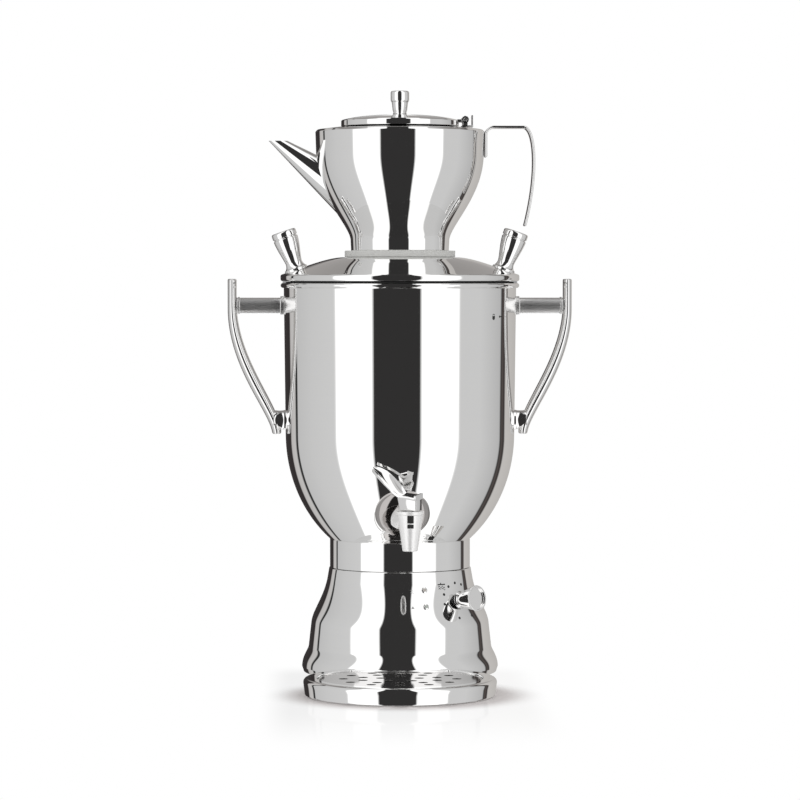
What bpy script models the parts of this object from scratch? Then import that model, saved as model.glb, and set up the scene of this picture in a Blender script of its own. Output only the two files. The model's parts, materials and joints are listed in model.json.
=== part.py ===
"""Electric samovar: a heated base, a pot-bellied vessel with a lever tap, a bayonet lid,
a teapot standing on the lid and a loose drip tray in front.

Metres, +Z up. The origin is on the vessel's axis at the height of the foot soles. The tap
faces -Y, the two carrying handles lie along X and the teapot's spout points to -X.
"""

import math

import bmesh
import bpy
from mathutils import Matrix, Vector

# Clearances, walls and facets
SEAT_GAP = 0.0003
RUNNING_GAP = 0.0004
SHEET = 0.0015
OVERRUN = 0.002
BIG_STEPS = 48
TEAPOT_STEPS = 40
MID_STEPS = 24
SMALL_STEPS = 16
PIN_STEPS = 8
HOLE_STEPS = 10
SMOOTH_ANGLE = math.radians(32)

# Base plate and feet
FOOT_HEIGHT = 0.0040
FOOT_RADIUS = 0.0075
FOOT_SOLE_RADIUS = 0.0062
FOOT_CIRCLE_RADIUS = 0.0620
FOOT_COUNT = 4
BASE_PLATE_THICKNESS = 0.0025
BASE_BOSS_RADIUS = 0.0120
BASE_BOSS_DEPTH = 0.0022

# Base housing, a spun shell
HOUSING_EDGE_RADIUS = 0.0772
HOUSING_FLARE_RADIUS = 0.0786
HOUSING_FLARE_HEIGHT = 0.0085
HOUSING_CREASE_RADIUS = 0.0733
HOUSING_CREASE_HEIGHT = 0.0243
HOUSING_BELLY_RADIUS = 0.0711
HOUSING_BELLY_HEIGHT = 0.0440
HOUSING_NECK_RADIUS = 0.0584
HOUSING_NECK_HEIGHT = 0.0780
HOUSING_TOP_RADIUS = 0.0567
HOUSING_TOP_HEIGHT = 0.0878
HOUSING_SHELF_RADIUS = 0.0510
SHOULDER_SHARES = ((0.26, 0.45), (0.93, 0.75))
FLARE_SHARES = ((0.22, 0.25), (1.0, 0.55))
HOUSING_ARC_STEPS = 6

# Neck ring and vessel
NECK_RING_RADIUS = 0.0561
VESSEL_TOP_RADIUS = 0.0930
VESSEL_SHOULDER_RADIUS = 0.0916
VESSEL_SHOULDER_HEIGHT = 0.1950
BOWL_DEPTH = 0.1065
VESSEL_FLOOR_RADIUS = 0.0500
RIM_BEAD_RADIUS = 0.0020
RIM_BEAD_HEIGHT = 0.3136
BOWL_ARC_STEPS = 7
BOWL_INNER_STEPS = 5

# Bayonet between the vessel and its lid
LUG_COUNT = 3
LUG_WIDTH = 0.0150
LUG_THICKNESS = 0.0025
LUG_INNER_RADIUS = 0.0881
VESSEL_LUG_HEIGHT = 0.3064
LID_LUG_RADIUS = 0.0903
LOCK_TURN = math.radians(15)
UNLOCKED_TURN = math.radians(13)

# Lid
GASKET_THICKNESS = 0.0008
GASKET_FLANGE_RADIUS = 0.0940
GASKET_PLUG_DEPTH = 0.0050
LID_EDGE_RADIUS = 0.0956
LID_EDGE_HEIGHT = 0.0050
LID_EDGE_ROUND = 0.0016
LID_DOME_RADIUS = 0.0920
LID_DOME_HEIGHT = 0.3232
LID_CROWN_RADIUS = 0.0476
LID_CROWN_HEIGHT = 0.3360
LID_SKIRT_RADIUS = 0.0876
LID_DOME_SHARES = ((0.30, 0.08), (0.66, 0.62))
VENT_RADIUS = 0.0030
VENT_CIRCLE_RADIUS = 0.0200
VENT_COUNT = 6
SEAT_RING_RADIUS = 0.0442
SEAT_RING_HEIGHT = 0.0052
SEAT_RING_LIP_RADIUS = 0.0404
SEAT_RING_LEDGE_RADIUS = 0.0345
SEAT_RING_LEDGE_HEIGHT = 0.0024

# Lid knobs
KNOB_CIRCLE_RADIUS = 0.0830
KNOB_FOOT_RADIUS = 0.0092
KNOB_NECK_RADIUS = 0.0066
KNOB_CAP_RADIUS = 0.0100
KNOB_GROOVE_RADIUS = 0.0092
KNOB_FOOT_HEIGHT = 0.0060
KNOB_GROOVE_HEIGHT = 0.0262
KNOB_CAP_HEIGHT = 0.0274
KNOB_HEIGHT = 0.0322
SCREW_RADIUS = 0.0017
SCREW_HEAD_RADIUS = 0.0034
SCREW_HEAD_HEIGHT = 0.0022
SCREW_GRIP = 0.0100

# Carrying handles
HANDLE_ARM_DROP = 0.0160
HANDLE_ARM_HEIGHT = RIM_BEAD_HEIGHT - HANDLE_ARM_DROP
HANDLE_ARM_RADIUS = 0.0062
HANDLE_COLLAR_RADIUS = 0.0074
HANDLE_COLLAR_LENGTH = 0.0030
HANDLE_REACH = 0.1342
HANDLE_TOP_HEIGHT = 0.3188
HANDLE_END_REACH = 0.0987
HANDLE_END_HEIGHT = 0.1948
HANDLE_THICKNESS = 0.0072
HANDLE_SWELL = 0.30
HANDLE_WIDTH = 0.0140
HANDLE_ROUND = 0.0021
HANDLE_SHARES = ((0.0, 0.46), (1.0, 0.812))
HANDLE_BEND_STEPS = 12
FOOT_PAD_HEIGHT = 0.2060
FOOT_PAD_RADIUS = 0.0080

# Heater under the vessel's floor and the parts inside the base
HEATER_PLATE_RADIUS = 0.0440
HEATER_PLATE_THICKNESS = 0.0040
ELEMENT_RADIUS = 0.0032
ELEMENT_CIRCLE_RADIUS = 0.0330
ELEMENT_GAP_ANGLE = math.radians(50)
ELEMENT_LEG_LENGTH = 0.0140
ELEMENT_STEPS = 20
CUTOUT_RADIUS = 0.0080
CUTOUT_HEIGHT = 0.0090
CUTOUT_FLANGE_RADIUS = 0.0120
CUTOUT_FLANGE_THICKNESS = 0.0010
TIE_COUNT = 3
TIE_CIRCLE_RADIUS = 0.0472
TIE_RADIUS = 0.0020
TIE_HEAD_RADIUS = 0.0036
TIE_HEAD_THICKNESS = 0.0022
TIE_FIRST_ANGLE = math.radians(30)
BLOCK_WIDTH = 0.0260
BLOCK_DEPTH = 0.0140
BLOCK_HEIGHT = 0.0130
BLOCK_BACK = 0.0360
BLOCK_BEVEL = 0.0012
GLAND_HEIGHT = 0.0340
GLAND_FLANGE_RADIUS = 0.0082
GLAND_NECK_RADIUS = 0.0055
GLAND_BORE_RADIUS = 0.0034
GLAND_STAND = 0.0042
GLAND_NECK_LENGTH = 0.0080

# Heat regulator and its dial
DIAL_AZIMUTH = math.radians(44.5)
DIAL_HEIGHT = 0.0650
DIAL_TILT = math.radians(7.5)
DIAL_START = 0.0034
DIAL_LENGTH = 0.0188
DIAL_SKIRT_RADIUS = 0.0074
DIAL_WAIST_RADIUS = 0.0054
DIAL_CAP_RADIUS = 0.0104
DIAL_BEZEL_WIDTH = 0.0016
DIAL_RECESS = 0.0008
DIAL_SHARES = ((0.10, 0.0), (0.38, 0.38), (0.90, 0.86), (1.0, 1.0))
SHAFT_RADIUS = 0.0028
SHAFT_INSIDE = 0.0100
SHAFT_GRIP = 0.0090
REGULATOR_RADIUS = 0.0125
REGULATOR_LENGTH = 0.0120
REGULATOR_BUSH_RADIUS = 0.0046
REGULATOR_SETBACK = 0.0085
REGULATOR_BUSH_STAND = 0.0024

# Lamps
LAMP_AZIMUTHS = (math.radians(17.4), math.radians(17.1))
LAMP_HEIGHTS = (0.0740, 0.0612)
LAMP_NAMES = ("upper", "lower")
LAMP_BEZEL_RADIUS = 0.0024
LAMP_HOLE_RADIUS = 0.0021
LAMP_LENS_RADIUS = 0.0012
LAMP_LENGTH = 0.0070
LAMP_STAND = 0.0010

# Tap, a plug valve that a quarter turn of its lever opens
TAP_HEIGHT = 0.1350
TAP_TURN = math.radians(7)
TAP_ARM = 0.0400
ROSETTE_RADIUS = 0.0215
ROSETTE_DOME = 0.0055
ROSETTE_EDGE = 0.0024
HUB_RADIUS = 0.0118
HUB_END_RADIUS = 0.0050
HUB_LENGTH = 0.0310
HUB_SHARES = ((0.0, 0.45), (0.42, 0.80))
SHANK_RADIUS = 0.0070
SHANK_INSIDE = 0.0210
INLET_RADIUS = 0.0032
BARREL_RISE = 0.0053
BARREL_DROP = 0.0256
BARREL_TOP_HEIGHT = TAP_HEIGHT + BARREL_RISE
BARREL_BOTTOM_HEIGHT = TAP_HEIGHT - BARREL_DROP
BARREL_RADIUS = 0.0105
BARREL_COLLAR_HEIGHT = 0.0023
BARREL_COLLAR_STEP = 0.0005
BARREL_NOZZLE_RADIUS = 0.0058
BARREL_NOZZLE_ROUND = 0.0022
NOZZLE_BORE_RADIUS = 0.0036
CHAMBER_TOP_RADIUS = 0.0074
CHAMBER_LOW_RADIUS = 0.0060
CHAMBER_DROP = 0.0110
CHAMBER_FLOOR_HEIGHT = TAP_HEIGHT - CHAMBER_DROP
SLEEVE_THICKNESS = 0.0008
PLUG_PORT_RADIUS = 0.0026
TANG_WIDTH = 0.0052
TANG_HEIGHT = 0.0040
TAP_WASHER_RADIUS = 0.0125
TAP_WASHER_INSIDE = 0.0120
TAP_NUT_RADIUS = 0.0130
TAP_NUT_THICKNESS = 0.0060

# Tap lever
LEVER_REST_ANGLE = math.radians(145)
LEVER_HEEL = 0.0084
LEVER_TOE = 0.0067
LEVER_THROAT = 0.0090
LEVER_HUB_WIDTH = 0.0092
LEVER_HUB_HEIGHT = 0.0100
LEVER_BLADE_WIDTH = 0.0150
LEVER_BLADE_THICKNESS = 0.0024
LEVER_HEEL_HEIGHT = 0.0101
LEVER_DIP_REACH = 0.0070
LEVER_DIP_HEIGHT = 0.0116
LEVER_REACH = 0.0345
LEVER_RISE = 0.0318
LEVER_SHARES = ((0.17, 0.14), (0.60, 0.82))
LEVER_BEND_STEPS = 7
LEVER_PLAN_SHARES = ((0.0, 0.69), (0.35, 0.69), (0.52, 0.94), (0.66, 1.0), (0.82, 0.90), (0.93, 0.62),
                     (0.98, 0.34), (1.0, 0.12))
LEVER_ROLL = 0.16
LEVER_END_WALL = 0.0016
LEVER_STEP = 0.0002
LEVER_END_HEIGHT = 0.0130
LEVER_SCREW_RADIUS = 0.0014
LEVER_SCREW_HEAD_RADIUS = 0.0028
LEVER_SCREW_SEAT = 0.0080
LEVER_SCREW_DEPTH = 0.0012

# Teapot
TEAPOT_RIM_RADIUS = 0.0676
TEAPOT_RIM_HEIGHT = 0.4362
TEAPOT_SHOULDER_HEIGHT = 0.4379
TEAPOT_SHOULDER_RADIUS = 0.0660
TEAPOT_MOUTH_HEIGHT = 0.4400
TEAPOT_MOUTH_LAND_RADIUS = 0.0480
TEAPOT_MOUTH_RADIUS = 0.0436
TEAPOT_BELLY_RADIUS = 0.0670
TEAPOT_BELLY_HEIGHT = 0.4180
TEAPOT_WAIST_RADIUS = 0.0395
TEAPOT_WAIST_HEIGHT = 0.3500
TEAPOT_FOOT_RADIUS = 0.0390
TEAPOT_SHARES = ((0.018, 0.485), (0.964, 0.824))
TEAPOT_LID_RADIUS = 0.0470
TEAPOT_LID_BAND = 0.0050
TEAPOT_LID_RISE = 0.0044
TEAPOT_LID_PLUG_DEPTH = 0.0060
TEAPOT_LID_PLUG_GAP = 0.0008
TEAPOT_KNOB_RADIUS = 0.0074
TEAPOT_KNOB_NECK_RADIUS = 0.0050
TEAPOT_KNOB_FOOT_RADIUS = 0.0064
TEAPOT_KNOB_HEIGHT = 0.0186
TEAPOT_KNOB_SHARES = ((0.10, 0.0), (0.34, 0.20), (0.62, 0.52), (1.0, 0.60))
HINGE_REACH = 0.0520
HINGE_HEIGHT = 0.4458
HINGE_RADIUS = 0.0030
HINGE_PIN_RADIUS = 0.0011
HINGE_MIDDLE_LENGTH = 0.0080
HINGE_SIDE_LENGTH = 0.0045
HINGE_LEAF_THICKNESS = 0.0012
HINGE_LEAF_REACH = 0.0584
HINGE_STOP_TOP = 0.4496
SPOUT_ROOT_REACH = 0.0590
SPOUT_ROOT_HEIGHT = 0.3995
SPOUT_ROOT_RADIUS = 0.0134
SPOUT_TIP_REACH = 0.0992
SPOUT_TIP_HEIGHT = 0.4290
SPOUT_TIP_RADIUS = 0.0042
SPOUT_WALL = 0.0010
SPOUT_ROOT_OVERRUN = 0.0240
SPOUT_TIP_OVERRUN = 0.0100
STRAINER_RADIUS = 0.0020
STRAINER_CIRCLE_RADIUS = 0.0062
STRAINER_COUNT = 6
STRAP_THICKNESS = 0.0020
STRAP_WIDTH = 0.0160
STRAP_FOOT_HEIGHT = 0.4160
STRAP_TOP_HEIGHT = 0.4400
STRAP_CORNER_RADIUS = 0.0065
STRAP_LEVEL_REACH = 0.0988
STRAP_BEND_REACH = 0.1080
STRAP_BULGE_REACH = 0.1110
STRAP_BULGE_SHARE = 0.544
STRAP_END_REACH = 0.0998
STRAP_END_HEIGHT = 0.3610
STRAP_STEPS = 12
STRAP_ROUND = 0.0005

# Drip tray
TRAY_CENTRE = 0.1300
TRAY_TURN = math.radians(-1.45)
TRAY_RADIUS = 0.0746
TRAY_BOTTOM_RADIUS = 0.0730
TRAY_RIM_ROUND = 0.0030
TRAY_HEIGHT = 0.0138
TRAY_FOOT_HEIGHT = 0.0008
TRAY_RECESS_RADIUS = 0.0632
TRAY_FLOOR_THICKNESS = 0.0015
TRAY_LEDGE_RADIUS = 0.0590
TRAY_BACK_GAP = 0.0040
TRAY_BACK_WALL = 0.0055
GRATE_DEPTH = 0.0026
GRATE_THICKNESS = 0.0015
GRATE_RINGS = ((0.0435, 12, 0.0), (0.0298, 10, 18.0), (0.0155, 5, 90.0))
GRATE_HOLE_RADIUS = 0.0037
TRAY_PAD_RADIUS = 0.0050
TRAY_PAD_CIRCLE_RADIUS = 0.0560
TRAY_PAD_ANGLES = (270.0, 35.0, 145.0)
TRAY_PAD_INSET = 0.0004


# Finishes: colour, roughness and metallic value
FINISHES = {
    "polished_steel": ((0.72, 0.72, 0.73), 0.06, 1.0),
    "satin_steel": ((0.66, 0.66, 0.67), 0.28, 1.0),
    "black_plastic": ((0.02, 0.02, 0.02), 0.45, 0.0),
    "black_rubber": ((0.03, 0.03, 0.03), 0.80, 0.0),
    "pale_silicone": ((0.70, 0.71, 0.72), 0.50, 0.0),
    "dark_silicone": ((0.10, 0.10, 0.10), 0.60, 0.0),
    "aluminium": ((0.60, 0.61, 0.62), 0.40, 1.0),
    "element_steel": ((0.30, 0.30, 0.29), 0.50, 1.0),
    "amber_lens": ((0.80, 0.42, 0.12), 0.20, 0.0),
    "green_lens": ((0.30, 0.62, 0.30), 0.20, 0.0),
}


def empty_scene():
    """Remove what the file holds."""
    for thing in list(bpy.data.objects):
        bpy.data.objects.remove(thing)


def make_finishes():
    """One Principled material for each finish."""
    for name, (colour, roughness, metallic) in FINISHES.items():
        material = bpy.data.materials.new(name)
        material.use_nodes = True
        shader = material.node_tree.nodes["Principled BSDF"]
        shader.inputs["Base Color"].default_value = (*colour, 1.0)
        shader.inputs["Roughness"].default_value = roughness
        shader.inputs["Metallic"].default_value = metallic
        material.diffuse_color = (*colour, 1.0)


def collection(name):
    """The named collection, made when it is first asked for."""
    found = bpy.data.collections.get(name)
    if found is None:
        found = bpy.data.collections.new(name)
        bpy.context.scene.collection.children.link(found)
    return found


def piece(name, mesh, finish=None, frame=None):
    """An object of a mesh: a part of the samovar, or a cutter where it has no finish."""
    thing = bpy.data.objects.new(name, mesh)
    thing.matrix_world = frame if frame is not None else Matrix()
    if finish is None:
        thing.hide_render = True
        thing.display_type = "WIRE"
        collection("cutters").objects.link(thing)
    else:
        mesh.materials.append(bpy.data.materials[finish])
        collection("samovar").objects.link(thing)
    return thing


def apply_modifiers(thing):
    """Turn what the modifiers make into the object's own mesh, shaded smooth but for its edges."""
    depsgraph = bpy.context.evaluated_depsgraph_get()
    mesh = bpy.data.meshes.new_from_object(thing.evaluated_get(depsgraph))
    thing.modifiers.clear()
    thing.data = mesh
    mesh.shade_smooth()
    mesh.set_sharp_from_angle(angle=SMOOTH_ANGLE)


def combine(thing, others, operation):
    """Cut, join or intersect an object with others, which are then removed."""
    for other in others:
        modifier = thing.modifiers.new(operation.lower(), "BOOLEAN")
        modifier.operation = operation
        modifier.solver = "EXACT"
        modifier.object = other
    apply_modifiers(thing)
    for other in others:
        bpy.data.objects.remove(other)


def subtract(thing, *others):
    combine(thing, others, "DIFFERENCE")


def unite(thing, *others):
    combine(thing, others, "UNION")


def intersect(thing, *others):
    combine(thing, others, "INTERSECT")


def bezier(start, first, second, end, steps):
    """Points along a cubic curve, without its start."""
    points = []
    for step in range(1, steps + 1):
        t = step / steps
        s = 1 - t
        weights = (s ** 3, 3 * s * s * t, 3 * s * t * t, t ** 3)
        corners = (start, first, second, end)
        points.append(tuple(sum(w * p[axis] for w, p in zip(weights, corners)) for axis in (0, 1)))
    return points


def between(start, end, shares):
    """The point at a share of the way from start to end, for each coordinate."""
    return tuple(a + (b - a) * share for a, b, share in zip(start, end, shares))


def curved(start, end, handle_shares, steps):
    """A cubic curve whose handles are shares of its span, without its start."""
    first, second = (between(start, end, shares) for shares in handle_shares)
    return bezier(start, first, second, end, steps)


def arc(centre, radius, first_angle, last_angle, steps):
    """Points on an arc, both ends included; angles in degrees."""
    points = []
    for step in range(steps + 1):
        angle = math.radians(first_angle + (last_angle - first_angle) * step / steps)
        points.append((centre[0] + radius * math.cos(angle), centre[1] + radius * math.sin(angle)))
    return points


def turned(name, outline, finish=None, frame=None, steps=BIG_STEPS):
    """A turned solid. Its outline of (radius, height) runs down its outer side; it is closed by
    the axis where it starts and ends there, and otherwise by its own last edge."""
    mesh = bpy.data.meshes.new(name)
    closed = outline[0][0] > 0 or outline[-1][0] > 0
    count = len(outline)
    edges = [(i, (i + 1) % count) for i in range(count if closed else count - 1)]
    mesh.from_pydata([(radius, 0, height) for radius, height in outline], edges, [])
    thing = piece(name, mesh, finish, frame)
    screw = thing.modifiers.new("turn", "SCREW")
    screw.axis = "Z"
    screw.steps = steps
    screw.render_steps = steps
    screw.use_merge_vertices = True
    screw.merge_threshold = 0.000001
    apply_modifiers(thing)
    return thing


def rod(name, radius, low, high, finish=None, frame=None, steps=SMALL_STEPS):
    """A plain cylinder along its frame's Z axis, from low to high."""
    mesh = bpy.data.meshes.new(name)
    shape = bmesh.new()
    middle = Matrix.Translation((0, 0, (low + high) / 2))
    bmesh.ops.create_cone(shape, cap_ends=True, segments=steps, radius1=radius, radius2=radius,
                          depth=high - low, matrix=middle)
    shape.to_mesh(mesh)
    shape.free()
    thing = piece(name, mesh, finish, frame)
    apply_modifiers(thing)
    return thing


def box(name, low, high, finish=None, frame=None, bevel=0):
    """A box between two corners of its frame, with its edges rounded where a bevel is given."""
    mesh = bpy.data.meshes.new(name)
    shape = bmesh.new()
    size = Vector(high) - Vector(low)
    middle = (Vector(high) + Vector(low)) / 2
    bmesh.ops.create_cube(shape, size=1, matrix=Matrix.Translation(middle) @ Matrix.Diagonal((*size, 1)))
    shape.to_mesh(mesh)
    shape.free()
    thing = piece(name, mesh, finish, frame)
    round_edges(thing, bevel, 2)
    return thing


def round_edges(thing, width, segments):
    """Round an object's sharp edges."""
    if width > 0:
        bevel = thing.modifiers.new("round", "BEVEL")
        bevel.width = width
        bevel.segments = segments
        bevel.limit_method = "ANGLE"
        bevel.angle_limit = math.radians(50)
    apply_modifiers(thing)


def solid_of_curve(name, curve, finish, frame, turn=None):
    """The closed mesh of a filled curve, with its caps welded and its faces outwards."""
    source = bpy.data.objects.new(name + "_curve", curve)
    bpy.context.scene.collection.objects.link(source)
    depsgraph = bpy.context.evaluated_depsgraph_get()
    mesh = bpy.data.meshes.new_from_object(source.evaluated_get(depsgraph))
    bpy.data.objects.remove(source)
    shape = bmesh.new()
    shape.from_mesh(mesh)
    bmesh.ops.remove_doubles(shape, verts=shape.verts, dist=0.000001)
    bmesh.ops.recalc_face_normals(shape, faces=shape.faces)
    shape.to_mesh(mesh)
    shape.free()
    mesh.materials.clear()
    if turn is not None:
        mesh.transform(turn)
    mesh.name = name
    return piece(name, mesh, finish, frame)


def plate(name, outline, width, finish=None, frame=None, round_width=0, round_segments=2):
    """A flat outline in its frame's XZ plane, as thick along Y as its width."""
    curve = bpy.data.curves.new(name, "CURVE")
    curve.dimensions = "2D"
    curve.fill_mode = "BOTH"
    curve.extrude = width / 2
    spline = curve.splines.new("POLY")
    spline.points.add(len(outline) - 1)
    for point, (across, up) in zip(spline.points, outline):
        point.co = (across, up, 0, 1)
    spline.use_cyclic_u = True
    upright = Matrix.Rotation(math.pi / 2, 4, "X")
    thing = solid_of_curve(name, curve, finish, frame, upright)
    round_edges(thing, round_width, round_segments)
    return thing


def pipe(name, points, radius, finish, frame=None, resolution=1):
    """A round bar or wire along points, with closed ends."""
    curve = bpy.data.curves.new(name, "CURVE")
    curve.dimensions = "3D"
    curve.bevel_depth = radius
    curve.bevel_resolution = resolution
    curve.use_fill_caps = True
    spline = curve.splines.new("POLY")
    spline.points.add(len(points) - 1)
    for point, place in zip(spline.points, points):
        point.co = (*place, 1)
    thing = solid_of_curve(name, curve, finish, frame)
    apply_modifiers(thing)
    return thing


def thickened(path, thickness, swell=0.0, first=0):
    """The outline of a strip along a path in a plane. From its first point on it may swell by a
    share of its thickness and narrow again."""
    left = []
    right = []
    for index, (across, up) in enumerate(path):
        share = max(index - first, 0) / (len(path) - 1 - first)
        half = thickness / 2 * (1 + swell * math.sin(math.pi * share))
        before = path[max(index - 1, 0)]
        after = path[min(index + 1, len(path) - 1)]
        along = Vector((after[0] - before[0], after[1] - before[1])).normalized() * half
        left.append((across - along.y, up + along.x))
        right.append((across + along.y, up - along.x))
    return left + right[::-1]


def facing(place, direction):
    """A frame at a place whose Z axis points in a direction."""
    turn = Vector(direction).to_track_quat("Z", "Y").to_matrix().to_4x4()
    return Matrix.Translation(place) @ turn


def around(azimuth, radius, height, tilt=0.0):
    """A frame at an angle from the front towards +X, with its Z axis outwards, tilted up."""
    place = (radius * math.sin(azimuth), -radius * math.cos(azimuth), height)
    level = math.cos(tilt)
    return facing(place, (level * math.sin(azimuth), -level * math.cos(azimuth), math.sin(tilt)))


def on_side(outline, height):
    """The radius of a side outline at a height, and how far its surface faces upwards."""
    for (radius, z), (next_radius, next_z) in zip(outline, outline[1:]):
        if next_z <= height <= z and z > next_z:
            share = (z - height) / (z - next_z)
            return radius + share * (next_radius - radius), math.atan2(next_radius - radius, z - next_z)
    raise ValueError("no side at this height")


def on_top(outline, reach):
    """The height of a top outline at a radius, and how far its surface leans outwards."""
    for (radius, z), (next_radius, next_z) in zip(outline, outline[1:]):
        if radius <= reach <= next_radius and next_radius > radius:
            share = (reach - radius) / (next_radius - radius)
            return z + share * (next_z - z), math.atan2(z - next_z, next_radius - radius)
    raise ValueError("no top at this radius")


def joint_empty(name, frame, *pieces):
    """An empty on a joint's axis that carries the pieces moving about it."""
    empty = bpy.data.objects.new(name, None)
    empty.empty_display_size = FOOT_RADIUS
    empty.matrix_world = frame
    collection("samovar").objects.link(empty)
    for thing in pieces:
        thing.parent = empty
        thing.matrix_parent_inverse = frame.inverted()
    return empty


def carry(empty, *children):
    """Let one joint's empty carry others."""
    for child in children:
        child.parent = empty
        child.matrix_parent_inverse = empty.matrix_world.inverted()


def housing_side(inset, steps):
    """The base's side from its top edge down, drawn inwards by an inset."""
    neck = (HOUSING_NECK_RADIUS - inset, HOUSING_NECK_HEIGHT)
    belly = (HOUSING_BELLY_RADIUS - inset, HOUSING_BELLY_HEIGHT)
    crease = (HOUSING_CREASE_RADIUS - inset, HOUSING_CREASE_HEIGHT)
    flare = (HOUSING_FLARE_RADIUS - inset, HOUSING_FLARE_HEIGHT)
    side = [(HOUSING_TOP_RADIUS - inset, HOUSING_TOP_HEIGHT - inset), neck]
    side += curved(neck, belly, SHOULDER_SHARES, steps)
    side += [crease]
    side += curved(crease, flare, FLARE_SHARES, steps // 2)
    side += [(HOUSING_EDGE_RADIUS - inset, FOOT_HEIGHT + SEAT_GAP)]
    return side


def bowl_side(inset, steps):
    """The vessel's side from its shoulder down to its floor, drawn inwards by an inset."""
    radius = VESSEL_SHOULDER_RADIUS - inset
    depth = BOWL_DEPTH - inset
    last = math.acos((VESSEL_FLOOR_RADIUS - inset / 2) / radius)
    side = []
    for step in range(steps + 1):
        angle = last * step / steps
        side.append((radius * math.cos(angle), VESSEL_SHOULDER_HEIGHT - depth * math.sin(angle)))
    return side


def vessel_side(inset=0.0, steps=BOWL_ARC_STEPS):
    """The vessel's whole side, from under its rim down to its floor."""
    return [(VESSEL_TOP_RADIUS - inset, RIM_BEAD_HEIGHT - RIM_BEAD_RADIUS)] + bowl_side(inset, steps)


def vessel_plug(inset, steps=BOWL_ARC_STEPS):
    """A solid that fills the vessel's outer side, drawn inwards by an inset."""
    side = vessel_side(inset, steps)
    return turned("vessel_plug", [(0, side[0][1])] + side + [(0, side[-1][1])])


def base():
    """Housing, base plate, feet and neck ring."""
    outer = housing_side(0.0, HOUSING_ARC_STEPS)
    inner = housing_side(SHEET, HOUSING_ARC_STEPS // 2)
    shelf = [(HOUSING_SHELF_RADIUS, HOUSING_TOP_HEIGHT - SHEET), (HOUSING_SHELF_RADIUS, HOUSING_TOP_HEIGHT)]
    housing = turned("base_housing", outer + inner[::-1] + shelf, "polished_steel")

    regulator_frame = dial_frame()
    cutters = [
        rod("bush_hole", REGULATOR_BUSH_RADIUS + RUNNING_GAP, -REGULATOR_SETBACK, REGULATOR_SETBACK,
            frame=regulator_frame),
        rod("gland_hole", GLAND_NECK_RADIUS + RUNNING_GAP, -GLAND_NECK_LENGTH, GLAND_NECK_LENGTH,
            frame=gland_frame()),
    ]
    for name, frame in zip(LAMP_NAMES, lamp_frames()):
        cutters.append(rod("lamp_hole_" + name, LAMP_HOLE_RADIUS, -LAMP_LENGTH, OVERRUN, frame=frame,
                           steps=PIN_STEPS))
    subtract(housing, *cutters)

    bottom = FOOT_HEIGHT + SEAT_GAP
    plate_radius = HOUSING_EDGE_RADIUS - SHEET - RUNNING_GAP
    outline = [(0, bottom + BASE_PLATE_THICKNESS), (plate_radius, bottom + BASE_PLATE_THICKNESS),
               (plate_radius, bottom), (BASE_BOSS_RADIUS + BASE_BOSS_DEPTH / 2, bottom),
               (BASE_BOSS_RADIUS, bottom - BASE_BOSS_DEPTH), (0, bottom - BASE_BOSS_DEPTH)]
    base_plate = turned("base_plate", outline, "black_plastic", steps=TEAPOT_STEPS)
    holes = []
    for place in tie_places():
        holes.append(rod("tie_hole", TIE_RADIUS + RUNNING_GAP, 0, bottom + BASE_PLATE_THICKNESS + OVERRUN,
                         frame=Matrix.Translation(place), steps=PIN_STEPS))
    subtract(base_plate, *holes)

    for index in range(FOOT_COUNT):
        angle = math.pi * (2 * index + 1) / FOOT_COUNT
        foot = [(0, FOOT_HEIGHT), (FOOT_RADIUS, FOOT_HEIGHT), (FOOT_SOLE_RADIUS, 0), (0, 0)]
        place = Matrix.Translation((FOOT_CIRCLE_RADIUS * math.cos(angle), FOOT_CIRCLE_RADIUS * math.sin(angle), 0))
        turned("foot_%d" % (index + 1), foot, "black_rubber", place, SMALL_STEPS)

    ring_inner = NECK_RING_RADIUS - SHEET
    low = HOUSING_TOP_HEIGHT + SEAT_GAP
    ring = [(NECK_RING_RADIUS, bowl_height(NECK_RING_RADIUS) - SEAT_GAP), (NECK_RING_RADIUS, low),
            (ring_inner, low), (ring_inner, bowl_height(ring_inner) - SEAT_GAP)]
    turned("neck_ring", ring, "polished_steel")


def bowl_height(radius):
    """The height of the bowl's outer surface at a radius."""
    share = radius / VESSEL_SHOULDER_RADIUS
    return VESSEL_SHOULDER_HEIGHT - BOWL_DEPTH * math.sqrt(1 - share * share)


def floor_height():
    """The height of the vessel's outer floor."""
    return vessel_side()[-1][1]


def tie_places():
    """Where the long screws stand that clamp the base to the vessel."""
    places = []
    for index in range(TIE_COUNT):
        angle = TIE_FIRST_ANGLE + 2 * math.pi * index / TIE_COUNT
        places.append((TIE_CIRCLE_RADIUS * math.cos(angle), TIE_CIRCLE_RADIUS * math.sin(angle), 0))
    return places


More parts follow.
